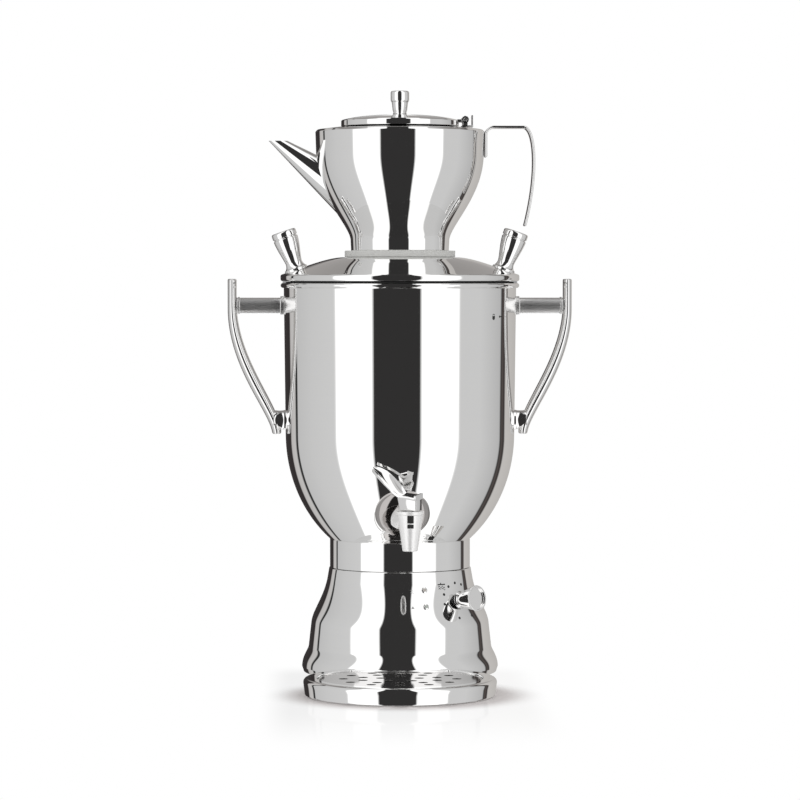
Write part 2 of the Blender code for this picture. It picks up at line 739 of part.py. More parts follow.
def vessel():
    """The pot with its rolled rim, its bayonet lugs and the holes for the tap and handles."""
    inner = vessel_side(SHEET, BOWL_INNER_STEPS)
    rim_radius = VESSEL_TOP_RADIUS - SHEET + RIM_BEAD_RADIUS
    bead = arc((rim_radius, RIM_BEAD_HEIGHT), RIM_BEAD_RADIUS, 180, -90, 4)
    outline = [(0, inner[-1][1])] + inner[::-1] + bead + vessel_side() + [(0, floor_height())]
    pot = turned("vessel", outline, "polished_steel")

    lugs = []
    for index in range(LUG_COUNT):
        turn = Matrix.Rotation(2 * math.pi * index / LUG_COUNT + math.pi / 6, 4, "Z")
        lugs.append(box("lug", (LUG_INNER_RADIUS, -LUG_WIDTH / 2, VESSEL_LUG_HEIGHT),
                        (VESSEL_TOP_RADIUS - SHEET * 2 / 3, LUG_WIDTH / 2, VESSEL_LUG_HEIGHT + LUG_THICKNESS),
                        frame=turn))
    unite(pot, *lugs)

    cutters = [rod("tap_hole", SHANK_RADIUS + RUNNING_GAP, -SHANK_INSIDE, SHANK_INSIDE, frame=tap_frame())]
    for side in (-1, 1):
        for height in (HANDLE_ARM_HEIGHT, FOOT_PAD_HEIGHT):
            cutters.append(rod("screw_hole", SCREW_RADIUS + RUNNING_GAP, VESSEL_SHOULDER_RADIUS - SHEET * 2,
                               VESSEL_TOP_RADIUS + OVERRUN, frame=facing((0, 0, height), (side, 0, 0)),
                               steps=PIN_STEPS))
    subtract(pot, *cutters)


def screw(name, start, grip, frame):
    """A domed screw whose head's inner face is at start, with its shank running outwards."""
    outline = [(0, start + grip), (SCREW_RADIUS, start + grip), (SCREW_RADIUS, start),
               (SCREW_HEAD_RADIUS, start), (SCREW_HEAD_RADIUS, start - SCREW_HEAD_HEIGHT / 3),
               (SCREW_HEAD_RADIUS / 2, start - SCREW_HEAD_HEIGHT), (0, start - SCREW_HEAD_HEIGHT)]
    return turned(name, outline, "satin_steel", frame, PIN_STEPS)


def handle_path(side):
    """The middle line of a carrying handle's bar."""
    top = (HANDLE_REACH, HANDLE_TOP_HEIGHT)
    knee = (HANDLE_REACH, HANDLE_ARM_HEIGHT)
    end = (HANDLE_END_REACH, HANDLE_END_HEIGHT)
    path = [top, knee] + curved(knee, end, HANDLE_SHARES, HANDLE_BEND_STEPS)
    return [(side * across, up) for across, up in path]


def carrying_handles():
    """Two handles, each an arm and a curved bar on a round foot, with two screws from inside."""
    for side, name in ((-1, "left"), (1, "right")):
        path = handle_path(side)
        outline = thickened(path, HANDLE_THICKNESS, HANDLE_SWELL, 1)
        bar = plate("handle_bar_" + name, outline, HANDLE_WIDTH, "polished_steel", round_width=HANDLE_ROUND)

        frame = facing((0, 0, HANDLE_ARM_HEIGHT), (side, 0, 0))
        wall, _ = on_side(vessel_side(), HANDLE_ARM_HEIGHT)
        start = wall + SEAT_GAP
        end = HANDLE_REACH - HANDLE_THICKNESS / 2 - SEAT_GAP * 2
        bore = start + SCREW_GRIP
        outline = [(0, end), (HANDLE_ARM_RADIUS, end), (HANDLE_ARM_RADIUS, start + HANDLE_COLLAR_LENGTH),
                   (HANDLE_COLLAR_RADIUS, start + HANDLE_COLLAR_LENGTH), (HANDLE_COLLAR_RADIUS, start),
                   (SCREW_RADIUS + RUNNING_GAP, start), (SCREW_RADIUS + RUNNING_GAP, bore), (0, bore)]
        turned("handle_arm_" + name, outline, "polished_steel", frame, SMALL_STEPS)
        screw("handle_screw_upper_" + name, wall - SHEET - SEAT_GAP * 2, SCREW_GRIP, frame)

        frame = facing((0, 0, FOOT_PAD_HEIGHT), (side, 0, 0))
        wall, _ = on_side(vessel_side(), FOOT_PAD_HEIGHT)
        reach = abs(min(path, key=lambda point: abs(point[1] - FOOT_PAD_HEIGHT))[0])
        foot_pad = rod("foot_pad", FOOT_PAD_RADIUS, wall - SHEET, reach, frame=frame)
        subtract(foot_pad, vessel_plug(-SEAT_GAP))
        unite(bar, foot_pad)
        grip = reach - wall + SHEET
        subtract(bar, rod("pad_bore", SCREW_RADIUS + RUNNING_GAP, 0, wall + grip, frame=frame, steps=PIN_STEPS))
        screw("handle_screw_lower_" + name, wall - SHEET - SEAT_GAP * 2, grip, frame)


def heater():
    """Heating plate, tubular element and cut-out under the floor, and the long clamping screws."""
    top = floor_height() - SEAT_GAP
    under = top - HEATER_PLATE_THICKNESS
    rod("heater_plate", HEATER_PLATE_RADIUS, under, top, "aluminium", steps=MID_STEPS)

    level = under - SEAT_GAP - ELEMENT_RADIUS
    first = -math.pi / 2 + ELEMENT_GAP_ANGLE / 2
    last = 3 * math.pi / 2 - ELEMENT_GAP_ANGLE / 2
    points = []
    for step in range(ELEMENT_STEPS + 1):
        angle = first + (last - first) * step / ELEMENT_STEPS
        points.append((ELEMENT_CIRCLE_RADIUS * math.cos(angle), ELEMENT_CIRCLE_RADIUS * math.sin(angle), level))
    leg = Vector((0, 0, -ELEMENT_LEG_LENGTH))
    points = [tuple(Vector(points[0]) + leg)] + points + [tuple(Vector(points[-1]) + leg)]
    pipe("heating_element", points, ELEMENT_RADIUS, "element_steel")

    seat = under - SEAT_GAP
    outline = [(0, seat), (CUTOUT_FLANGE_RADIUS, seat), (CUTOUT_FLANGE_RADIUS, seat - CUTOUT_FLANGE_THICKNESS),
               (CUTOUT_RADIUS, seat - CUTOUT_FLANGE_THICKNESS), (CUTOUT_RADIUS, seat - CUTOUT_HEIGHT),
               (0, seat - CUTOUT_HEIGHT)]
    turned("thermal_cutout", outline, "black_plastic", steps=SMALL_STEPS)

    bottom = FOOT_HEIGHT
    for index, place in enumerate(tie_places()):
        outline = [(0, floor_height() - SEAT_GAP), (TIE_RADIUS, floor_height() - SEAT_GAP), (TIE_RADIUS, bottom),
                   (TIE_HEAD_RADIUS, bottom), (TIE_HEAD_RADIUS, bottom - TIE_HEAD_THICKNESS),
                   (0, bottom - TIE_HEAD_THICKNESS)]
        turned("tie_screw_%d" % (index + 1), outline, "satin_steel", Matrix.Translation(place), PIN_STEPS)


def wiring():
    """Terminal block on the base plate and the cord's gland at the back."""
    floor = FOOT_HEIGHT + SEAT_GAP * 2 + BASE_PLATE_THICKNESS
    box("terminal_block", (-BLOCK_WIDTH / 2, BLOCK_BACK - BLOCK_DEPTH / 2, floor),
        (BLOCK_WIDTH / 2, BLOCK_BACK + BLOCK_DEPTH / 2, floor + BLOCK_HEIGHT), "black_plastic", bevel=BLOCK_BEVEL)

    outline = [(GLAND_BORE_RADIUS, GLAND_STAND), (GLAND_NECK_RADIUS, GLAND_STAND),
               (GLAND_FLANGE_RADIUS, GLAND_STAND / 2), (GLAND_FLANGE_RADIUS, SEAT_GAP * 2),
               (GLAND_NECK_RADIUS, SEAT_GAP * 2), (GLAND_NECK_RADIUS, -GLAND_NECK_LENGTH),
               (GLAND_BORE_RADIUS, -GLAND_NECK_LENGTH)]
    turned("cord_gland", outline, "black_plastic", gland_frame(), SMALL_STEPS)


def gland_frame():
    """Where the cord's gland sits, facing square out of the housing's back."""
    wall, tilt = on_side(housing_side(0.0, HOUSING_ARC_STEPS), GLAND_HEIGHT)
    return around(math.pi, wall, GLAND_HEIGHT, tilt)


def dial_frame():
    """The dial's axis, where it leaves the housing."""
    radius, _ = on_side(housing_side(0.0, HOUSING_ARC_STEPS), DIAL_HEIGHT)
    return around(DIAL_AZIMUTH, radius, DIAL_HEIGHT, DIAL_TILT)


def dial():
    """Heat regulator inside the base, with its shaft and the dial knob outside."""
    frame = dial_frame()
    front = -REGULATOR_SETBACK
    back = front - REGULATOR_LENGTH
    bore = SHAFT_RADIUS + RUNNING_GAP
    pocket = -SHAFT_INSIDE - REGULATOR_SETBACK / 2
    outline = [(bore, REGULATOR_BUSH_STAND), (REGULATOR_BUSH_RADIUS, REGULATOR_BUSH_STAND),
               (REGULATOR_BUSH_RADIUS, front), (REGULATOR_RADIUS, front), (REGULATOR_RADIUS, back), (0, back),
               (0, pocket), (bore, pocket)]
    turned("heat_regulator", outline[-2:] + outline[:-2], "black_plastic", frame, SMALL_STEPS)

    start = DIAL_START
    end = start + DIAL_LENGTH
    grip = start + SHAFT_GRIP
    shaft = rod("dial_shaft", SHAFT_RADIUS, pocket + RUNNING_GAP, grip - RUNNING_GAP, "satin_steel", frame,
                PIN_STEPS)
    flare = []
    for along, out in DIAL_SHARES:
        flare.append((DIAL_WAIST_RADIUS + (DIAL_CAP_RADIUS - DIAL_WAIST_RADIUS) * out, start + DIAL_LENGTH * along))
    face = DIAL_CAP_RADIUS - DIAL_BEZEL_WIDTH
    outline = [(0, grip), (bore, grip), (bore, start), (DIAL_SKIRT_RADIUS, start)] + flare
    outline += [(face, end), (face, end - DIAL_RECESS), (0, end - DIAL_RECESS)]
    knob = turned("dial_knob", outline[::-1], "polished_steel", frame, MID_STEPS)
    return joint_empty("dial_axis", frame, shaft, knob)


def lamp_frames():
    """Where the two lamps sit on the housing, facing square out of it."""
    frames = []
    for azimuth, height in zip(LAMP_AZIMUTHS, LAMP_HEIGHTS):
        radius, tilt = on_side(housing_side(0.0, HOUSING_ARC_STEPS), height)
        frames.append(around(azimuth, radius, height, tilt))
    return frames


def lamps():
    """Two indicator lamps, each a bezel with a lens in it."""
    for name, frame, lens_finish in zip(LAMP_NAMES, lamp_frames(), ("amber_lens", "green_lens")):
        inner = LAMP_LENS_RADIUS + SEAT_GAP
        tube = LAMP_HOLE_RADIUS - SEAT_GAP
        outline = [(inner, LAMP_STAND), (LAMP_BEZEL_RADIUS, LAMP_STAND / 2), (LAMP_BEZEL_RADIUS, SEAT_GAP),
                   (tube, SEAT_GAP), (tube, -LAMP_LENGTH / 2), (inner, -LAMP_LENGTH / 2)]
        turned("lamp_bezel_" + name, outline, "polished_steel", frame, PIN_STEPS)
        dome = [(0, LAMP_STAND), (LAMP_LENS_RADIUS * 2 / 3, LAMP_STAND * 3 / 4), (LAMP_LENS_RADIUS, LAMP_STAND / 3),
                (LAMP_LENS_RADIUS, -LAMP_LENGTH), (0, -LAMP_LENGTH)]
        turned("lamp_lens_" + name, dome, lens_finish, frame, PIN_STEPS)


def tap_frame():
    """The tap's level axis where it leaves the bowl, turned a little to one side."""
    radius, _ = on_side(vessel_side(), TAP_HEIGHT)
    out = Vector((math.sin(TAP_TURN), -math.cos(TAP_TURN), 0))
    return facing((0, -radius, TAP_HEIGHT), out)


def barrel_frame():
    """The tap barrel's upright axis, with heights measured from the soles."""
    place = tap_frame() @ Vector((0, 0, TAP_ARM))
    return Matrix.Translation((place.x, place.y, 0))


def lever_frame():
    """The lever's upright axis at its lower face, with X towards the lever's tip."""
    height = BARREL_TOP_HEIGHT + SEAT_GAP
    return barrel_frame() @ Matrix.Translation((0, 0, height)) @ Matrix.Rotation(LEVER_REST_ANGLE, 4, "Z")


def chamber_radius(height):
    """The radius of the barrel's tapered chamber at a height."""
    share = (height - CHAMBER_FLOOR_HEIGHT) / (BARREL_TOP_HEIGHT - CHAMBER_FLOOR_HEIGHT)
    return CHAMBER_LOW_RADIUS + (CHAMBER_TOP_RADIUS - CHAMBER_LOW_RADIUS) * share


def tap():
    """Rosette, body, gasket and nut, and the plug valve that the lever turns."""
    frame = tap_frame()
    radius, tilt = on_side(vessel_side(), TAP_HEIGHT)
    rosette_frame = around(0.0, radius, TAP_HEIGHT, tilt)
    dome = [(0, ROSETTE_DOME)] + curved((0, ROSETTE_DOME), (ROSETTE_RADIUS, ROSETTE_EDGE - ROSETTE_DOME / 2),
                                        ((0.5, 0.0), (0.86, 0.45)), 5)
    dome += [(ROSETTE_RADIUS, -ROSETTE_DOME), (0, -ROSETTE_DOME)]
    rosette = turned("tap_rosette", dome, "polished_steel", rosette_frame, MID_STEPS)
    subtract(rosette, vessel_plug(-SEAT_GAP),
             rod("hub_hole", HUB_RADIUS + RUNNING_GAP, -HUB_RADIUS, TAP_ARM, frame=frame))

    hole = SHANK_RADIUS + RUNNING_GAP
    outline = [(hole, HUB_RADIUS), (TAP_WASHER_RADIUS, HUB_RADIUS), (TAP_WASHER_RADIUS, -TAP_WASHER_INSIDE),
               (hole, -TAP_WASHER_INSIDE)]
    washer = turned("tap_gasket", outline, "pale_silicone", frame, SMALL_STEPS)
    intersect(washer, vessel_plug(SHEET + SEAT_GAP, BOWL_INNER_STEPS))
    nut_front = -TAP_WASHER_INSIDE - SEAT_GAP
    nut_back = nut_front - TAP_NUT_THICKNESS
    nut = rod("tap_nut", TAP_NUT_RADIUS, nut_back, nut_front, "satin_steel", frame, 6)
    subtract(nut, rod("nut_hole", hole, nut_back - OVERRUN, nut_front + OVERRUN, frame=frame))
    tap_body(frame)
    return tap_valve(frame)


def tap_body(frame):
    """The tap's casting: hollow barrel, hub and threaded shank with the inlet through it."""
    nozzle = BARREL_NOZZLE_RADIUS
    collar_under = BARREL_TOP_HEIGHT - BARREL_COLLAR_HEIGHT
    outline = [(0, BARREL_TOP_HEIGHT), (BARREL_RADIUS, BARREL_TOP_HEIGHT), (BARREL_RADIUS, collar_under),
               (BARREL_RADIUS - BARREL_COLLAR_STEP, collar_under - BARREL_COLLAR_STEP),
               (nozzle, BARREL_BOTTOM_HEIGHT + BARREL_NOZZLE_ROUND),
               (nozzle - BARREL_NOZZLE_ROUND / 4, BARREL_BOTTOM_HEIGHT + BARREL_NOZZLE_ROUND / 3),
               (nozzle - BARREL_NOZZLE_ROUND * 2 / 3, BARREL_BOTTOM_HEIGHT), (0, BARREL_BOTTOM_HEIGHT)]
    body = turned("tap_body", outline, "satin_steel", barrel_frame(), MID_STEPS)
    neck = (HUB_END_RADIUS, HUB_LENGTH)
    hub_outline = [(0, HUB_LENGTH), neck] + curved(neck, (HUB_RADIUS, 0), HUB_SHARES, 5)
    hub_outline += [(HUB_RADIUS, -HUB_RADIUS), (0, -HUB_RADIUS)]
    hub = turned("hub", hub_outline, frame=frame, steps=SMALL_STEPS)
    subtract(hub, vessel_plug(-SEAT_GAP))
    unite(body, hub, rod("shank", SHANK_RADIUS, -SHANK_INSIDE, HUB_RADIUS, frame=frame))
    over = BARREL_TOP_HEIGHT + OVERRUN
    chamber = [(0, over), (chamber_radius(over), over), (CHAMBER_LOW_RADIUS, CHAMBER_FLOOR_HEIGHT),
               (0, CHAMBER_FLOOR_HEIGHT)]
    subtract(body, rod("inlet", INLET_RADIUS, -SHANK_INSIDE - OVERRUN, TAP_ARM, frame=frame),
             rod("nozzle_bore", NOZZLE_BORE_RADIUS, BARREL_BOTTOM_HEIGHT - OVERRUN, BARREL_TOP_HEIGHT,
                 frame=barrel_frame()),
             turned("chamber", chamber, frame=barrel_frame(), steps=MID_STEPS))


def tap_valve(frame):
    """The sleeve that stays in the barrel, and the plug, lever and screw that turn together."""
    upright = barrel_frame()
    low = CHAMBER_FLOOR_HEIGHT + SEAT_GAP
    high = BARREL_TOP_HEIGHT - SEAT_GAP
    outer = SEAT_GAP
    inner = SEAT_GAP + SLEEVE_THICKNESS
    outline = [(chamber_radius(high) - outer, high), (chamber_radius(low) - outer, low),
               (chamber_radius(low) - inner, low), (chamber_radius(high) - inner, high)]
    sleeve = turned("tap_sleeve", outline, "pale_silicone", upright, MID_STEPS)
    subtract(sleeve, rod("window", INLET_RADIUS, 0, TAP_ARM, frame=frame))

    gap = inner + SEAT_GAP
    outline = [(0, high), (chamber_radius(high) - gap, high), (chamber_radius(low) - gap, low), (0, low)]
    plug = turned("tap_plug", outline, "satin_steel", upright, MID_STEPS)
    place = lever_frame()
    half = TANG_WIDTH / 2
    unite(plug, box("tang", (-half, -half, -SEAT_GAP * 2), (half, half, TANG_HEIGHT), frame=place))
    port_frame = facing(upright @ Vector((0, 0, TAP_HEIGHT)), (math.cos(TAP_TURN), math.sin(TAP_TURN), 0))
    thread = LEVER_SCREW_RADIUS + SEAT_GAP
    subtract(plug, rod("port", PLUG_PORT_RADIUS, 0, BARREL_RADIUS, frame=port_frame),
             rod("outlet", PLUG_PORT_RADIUS, low - OVERRUN, TAP_HEIGHT + PLUG_PORT_RADIUS / 2, frame=upright),
             rod("thread", thread, -LEVER_SCREW_DEPTH - SEAT_GAP, TANG_HEIGHT + OVERRUN, frame=place,
                 steps=PIN_STEPS))

    seat = LEVER_SCREW_SEAT + SEAT_GAP
    head_top = seat + SCREW_HEAD_HEIGHT
    outline = [(0, head_top), (LEVER_SCREW_HEAD_RADIUS / 2, head_top),
               (LEVER_SCREW_HEAD_RADIUS, head_top - SCREW_HEAD_HEIGHT / 2), (LEVER_SCREW_HEAD_RADIUS, seat),
               (LEVER_SCREW_RADIUS, seat), (LEVER_SCREW_RADIUS, -LEVER_SCREW_DEPTH), (0, -LEVER_SCREW_DEPTH)]
    fastener = turned("lever_screw", outline, "satin_steel", place, PIN_STEPS)
    return joint_empty("tap_axis", place, lever(place), plug, fastener)


def lever(frame):
    """The tap's lever, one casting: a hub block and a rolled blade curving up to its tip."""
    heel = (-LEVER_HEEL, LEVER_HEEL_HEIGHT)
    dip = (LEVER_DIP_REACH, LEVER_DIP_HEIGHT)
    path = [heel, dip] + curved(dip, (LEVER_REACH, LEVER_RISE), LEVER_SHARES, LEVER_BEND_STEPS)
    blade = plate("tap_lever", thickened(path, LEVER_BLADE_THICKNESS), LEVER_BLADE_WIDTH * 2, "polished_steel",
                  frame)
    length = LEVER_HEEL + LEVER_REACH
    near = [(-LEVER_HEEL + length * along, LEVER_BLADE_WIDTH / 2 * out) for along, out in LEVER_PLAN_SHARES]
    far = [(across, -up) for across, up in near[::-1]]
    lying = Matrix.Rotation(-math.pi / 2, 4, "X")
    intersect(blade, plate("lever_plan", near + far, LEVER_RISE * 3, frame=frame @ lying))
    half = LEVER_BLADE_WIDTH / 2 * LEVER_PLAN_SHARES[0][1] - LEVER_STEP
    back = -LEVER_HEEL + LEVER_STEP
    unite(blade, box("end_wall", (back, -half, LEVER_HEEL_HEIGHT),
                     (back + LEVER_END_WALL, half, LEVER_END_HEIGHT), frame=frame))
    roll = Matrix()
    roll[2][1] = -LEVER_ROLL
    blade.data.transform(roll)

    back += LEVER_STEP
    outline = [(back, 0), (LEVER_TOE, 0), (LEVER_THROAT, LEVER_HUB_HEIGHT), (back, LEVER_HUB_HEIGHT)]
    unite(blade, plate("lever_hub", outline, LEVER_HUB_WIDTH, frame=frame))
    half = TANG_WIDTH / 2 + SEAT_GAP
    thread = LEVER_SCREW_RADIUS + RUNNING_GAP
    subtract(blade, box("tang_pocket", (-half, -half, -OVERRUN), (half, half, TANG_HEIGHT + SEAT_GAP),
                        frame=frame),
             rod("screw_hole", thread, 0, LEVER_END_HEIGHT, frame=frame, steps=PIN_STEPS),
             rod("screw_seat", LEVER_SCREW_HEAD_RADIUS + RUNNING_GAP, LEVER_SCREW_SEAT, LEVER_RISE, frame=frame))
    return blade


def lid_top():
    """The lid's dome from its crown outwards."""
    crown = (LID_CROWN_RADIUS, LID_CROWN_HEIGHT)
    return [crown] + curved(crown, (LID_DOME_RADIUS, LID_DOME_HEIGHT), LID_DOME_SHARES, 4)


def gasket_top():
    """The height of the gasket's upper face."""
    return RIM_BEAD_HEIGHT + RIM_BEAD_RADIUS + SEAT_GAP + GASKET_THICKNESS


def lid():
    """Gasket, lid with bayonet lugs, seat ring and two knobs, each held by a screw."""
    under = gasket_top() - GASKET_THICKNESS
    plug_radius = VESSEL_TOP_RADIUS - SHEET - RUNNING_GAP
    plug_inner = LID_SKIRT_RADIUS + RUNNING_GAP
    plug_low = under - GASKET_PLUG_DEPTH
    outline = [(plug_inner, gasket_top()), (GASKET_FLANGE_RADIUS, gasket_top()), (GASKET_FLANGE_RADIUS, under),
               (plug_radius, under), (plug_radius, plug_low), (plug_inner, plug_low)]
    gasket = turned("lid_gasket", outline, "dark_silicone")

    low = gasket_top() + SEAT_GAP
    high = low + LID_EDGE_HEIGHT
    lug_top = VESSEL_LUG_HEIGHT - SEAT_GAP * 2
    skirt_low = lug_top - LUG_THICKNESS
    skirt_inner = LID_SKIRT_RADIUS - SHEET
    edge = LID_EDGE_RADIUS
    top = lid_top()
    corner = (skirt_inner, on_top(top, skirt_inner)[0] - SHEET)
    inner_top = [(radius - SHEET / 4, height - SHEET) for radius, height in top[:-1]]
    outline = [(0, LID_CROWN_HEIGHT)] + top
    outline += [(edge - LID_EDGE_ROUND, high), (edge, high - LID_EDGE_ROUND), (edge, low + LID_EDGE_ROUND),
                (edge - LID_EDGE_ROUND, low), (LID_SKIRT_RADIUS, low), (LID_SKIRT_RADIUS, skirt_low),
                (skirt_inner, skirt_low), corner]
    outline += inner_top[::-1] + [(0, LID_CROWN_HEIGHT - SHEET)]
    cover = turned("vessel_lid", outline, "polished_steel")
    lugs = []
    for index in range(LUG_COUNT):
        turn = Matrix.Rotation(2 * math.pi * index / LUG_COUNT + math.pi / 6 + UNLOCKED_TURN, 4, "Z")
        lugs.append(box("lug", (LID_SKIRT_RADIUS - SHEET * 2 / 3, -LUG_WIDTH / 2, skirt_low),
                        (LID_LUG_RADIUS, LUG_WIDTH / 2, lug_top), frame=turn))
    unite(cover, *lugs)
    holes = []
    for index in range(VENT_COUNT):
        angle = 2 * math.pi * index / VENT_COUNT
        place = (VENT_CIRCLE_RADIUS * math.cos(angle), VENT_CIRCLE_RADIUS * math.sin(angle), LID_CROWN_HEIGHT)
        holes.append(rod("vent", VENT_RADIUS, -SHEET - OVERRUN, OVERRUN, frame=Matrix.Translation(place),
                         steps=HOLE_STEPS))
    knobs = []
    for side, name in ((-1, "left"), (1, "right")):
        height, lean = on_top(top, KNOB_CIRCLE_RADIUS)
        frame = facing((side * KNOB_CIRCLE_RADIUS, 0, height), (side * math.sin(lean), 0, math.cos(lean)))
        holes.append(rod("knob_hole", SCREW_RADIUS + RUNNING_GAP, -SHEET - OVERRUN * 2, OVERRUN, frame=frame,
                         steps=PIN_STEPS))
        knobs += lid_knob(name, frame)
    subtract(cover, *holes)

    seat = LID_CROWN_HEIGHT + SEAT_GAP
    ledge = seat + SEAT_RING_LEDGE_HEIGHT
    outline = [(SEAT_RING_LIP_RADIUS, seat + SEAT_RING_HEIGHT), (SEAT_RING_RADIUS, seat + SEAT_RING_HEIGHT),
               (SEAT_RING_RADIUS, seat), (SEAT_RING_LEDGE_RADIUS, seat), (SEAT_RING_LEDGE_RADIUS, ledge),
               (SEAT_RING_LIP_RADIUS, ledge)]
    ring = turned("lid_seat_ring", outline, "pale_silicone", steps=TEAPOT_STEPS)

    lift = joint_empty("lid_lift_axis", Matrix.Translation((0, 0, gasket_top())), gasket)
    turn = joint_empty("lid_turn_axis", Matrix.Translation((0, 0, LID_CROWN_HEIGHT)), cover, ring, *knobs)
    carry(lift, turn)
    return turn


def lid_knob(name, frame):
    """One knob, standing square on the lid's slope, with the screw that holds it from below."""
    start = SEAT_GAP * 2
    bore = SCREW_RADIUS + RUNNING_GAP
    dome = KNOB_HEIGHT - (KNOB_HEIGHT - KNOB_CAP_HEIGHT) / 5
    outline = [(0, KNOB_HEIGHT), (KNOB_CAP_RADIUS * 3 / 4, KNOB_HEIGHT), (KNOB_CAP_RADIUS, dome),
               (KNOB_CAP_RADIUS, KNOB_CAP_HEIGHT), (KNOB_GROOVE_RADIUS, KNOB_CAP_HEIGHT),
               (KNOB_GROOVE_RADIUS, KNOB_GROOVE_HEIGHT), (KNOB_CAP_RADIUS, KNOB_GROOVE_HEIGHT)]
    outline += curved((KNOB_CAP_RADIUS, KNOB_GROOVE_HEIGHT), (KNOB_NECK_RADIUS, KNOB_FOOT_HEIGHT),
                      ((0.12, 0.38), (0.80, 0.72)), 4)
    outline += curved((KNOB_NECK_RADIUS, KNOB_FOOT_HEIGHT), (KNOB_FOOT_RADIUS, start * 2),
                      ((0.08, 0.5), (0.5, 0.95)), 3)
    outline += [(KNOB_FOOT_RADIUS, start), (bore, start), (bore, SCREW_GRIP), (0, SCREW_GRIP)]
    knob = turned("lid_knob_" + name, outline, "polished_steel", frame, SMALL_STEPS)
    fastener = screw("lid_knob_screw_" + name, -SHEET - SEAT_GAP * 2, SCREW_GRIP, frame)
    return [knob, fastener]


def teapot_side(inset, steps):
    """The teapot's side from its rim down to its foot, drawn inwards by an inset."""
    belly = (TEAPOT_BELLY_RADIUS - inset, TEAPOT_BELLY_HEIGHT)
    waist = (TEAPOT_WAIST_RADIUS - inset, TEAPOT_WAIST_HEIGHT)
    side = [(TEAPOT_RIM_RADIUS - inset, TEAPOT_RIM_HEIGHT - inset), belly]
    side += curved(belly, waist, TEAPOT_SHARES, steps)
    return side


def teapot_floor():
    """The height of the teapot's foot, seated in the ring."""
    return LID_CROWN_HEIGHT + SEAT_GAP * 2 + SEAT_RING_LEDGE_HEIGHT


def teapot():
    """Body, spout with its strainer holes, strap handle and the hinge's leaf."""
    foot = teapot_floor()
    inner = teapot_side(SHEET, 4)
    mouth_under = TEAPOT_MOUTH_HEIGHT - SHEET
    outline = [(0, foot + SHEET), (TEAPOT_FOOT_RADIUS - SHEET, foot + SHEET)] + inner[::-1]
    outline += [(TEAPOT_MOUTH_LAND_RADIUS, mouth_under), (TEAPOT_MOUTH_RADIUS, mouth_under),
                (TEAPOT_MOUTH_RADIUS, TEAPOT_MOUTH_HEIGHT), (TEAPOT_MOUTH_LAND_RADIUS, TEAPOT_MOUTH_HEIGHT),
                (TEAPOT_SHOULDER_RADIUS, TEAPOT_SHOULDER_HEIGHT)]
    outline += teapot_side(0.0, 7) + [(TEAPOT_FOOT_RADIUS, foot), (0, foot)]
    body = turned("teapot_body", outline, "polished_steel", steps=TEAPOT_STEPS)

    root = Vector((-SPOUT_ROOT_REACH, 0, SPOUT_ROOT_HEIGHT))
    tip = Vector((-SPOUT_TIP_REACH, 0, SPOUT_TIP_HEIGHT))
    length = (tip - root).length
    frame = facing(root, tip - root)
    growth = (SPOUT_TIP_RADIUS - SPOUT_ROOT_RADIUS) / length
    low = -SPOUT_ROOT_OVERRUN
    high = length + SPOUT_TIP_OVERRUN
    narrow = SPOUT_ROOT_RADIUS + growth * high
    wide = SPOUT_ROOT_RADIUS + growth * low
    outline = [(narrow, high), (wide, low), (wide - SPOUT_WALL, low), (narrow - SPOUT_WALL, high)]
    spout = turned("teapot_spout", outline, "polished_steel", frame, SMALL_STEPS)
    plug = [(TEAPOT_BELLY_RADIUS, TEAPOT_MOUTH_HEIGHT)] + teapot_side(-SEAT_GAP, 7)[1:]
    plug_top = (0, TEAPOT_MOUTH_HEIGHT)
    plug_low = (0, TEAPOT_WAIST_HEIGHT)
    far = SPOUT_TIP_REACH + SPOUT_TIP_OVERRUN * 2
    subtract(spout, turned("teapot_plug", [plug_top] + plug + [plug_low], steps=TEAPOT_STEPS),
             box("spout_cut", (-far, -SPOUT_ROOT_RADIUS, SPOUT_TIP_HEIGHT),
                 (-SPOUT_ROOT_REACH, SPOUT_ROOT_RADIUS, SPOUT_TIP_HEIGHT + SPOUT_ROOT_RADIUS * 2)))

    holes = [rod("strainer", STRAINER_RADIUS, low, 0, frame=frame, steps=PIN_STEPS)]
    for index in range(STRAINER_COUNT):
        angle = 2 * math.pi * index / STRAINER_COUNT
        shift = Matrix.Translation((STRAINER_CIRCLE_RADIUS * math.cos(angle),
                                    STRAINER_CIRCLE_RADIUS * math.sin(angle), 0))
        holes.append(rod("strainer", STRAINER_RADIUS, low, 0, frame=frame @ shift, steps=PIN_STEPS))
    subtract(body, *holes)

    reach = TEAPOT_RIM_RADIUS + SEAT_GAP + STRAP_THICKNESS / 2
    corner = (reach + STRAP_CORNER_RADIUS, STRAP_TOP_HEIGHT - STRAP_CORNER_RADIUS)
    level = (STRAP_LEVEL_REACH, STRAP_TOP_HEIGHT)
    end = (STRAP_END_REACH, STRAP_END_HEIGHT)
    bulge = (STRAP_BULGE_REACH, STRAP_END_HEIGHT + (STRAP_TOP_HEIGHT - STRAP_END_HEIGHT) * STRAP_BULGE_SHARE)
    path = [(reach, STRAP_FOOT_HEIGHT)] + arc(corner, STRAP_CORNER_RADIUS, 180, 90, 4) + [level]
    path += bezier(level, (STRAP_BEND_REACH, STRAP_TOP_HEIGHT), bulge, end, STRAP_STEPS)
    strap = plate("teapot_handle", thickened(path, STRAP_THICKNESS), STRAP_WIDTH, "polished_steel")
    leaf = hinge_leaf()
    return joint_empty("teapot_axis", Matrix.Translation((0, 0, foot)), body, spout, strap, leaf)


def hinge_frame():
    """The hinge pin's axis: Z along the pin, through the middle of the hinge."""
    return facing((HINGE_REACH, 0, HINGE_HEIGHT), (0, 1, 0))


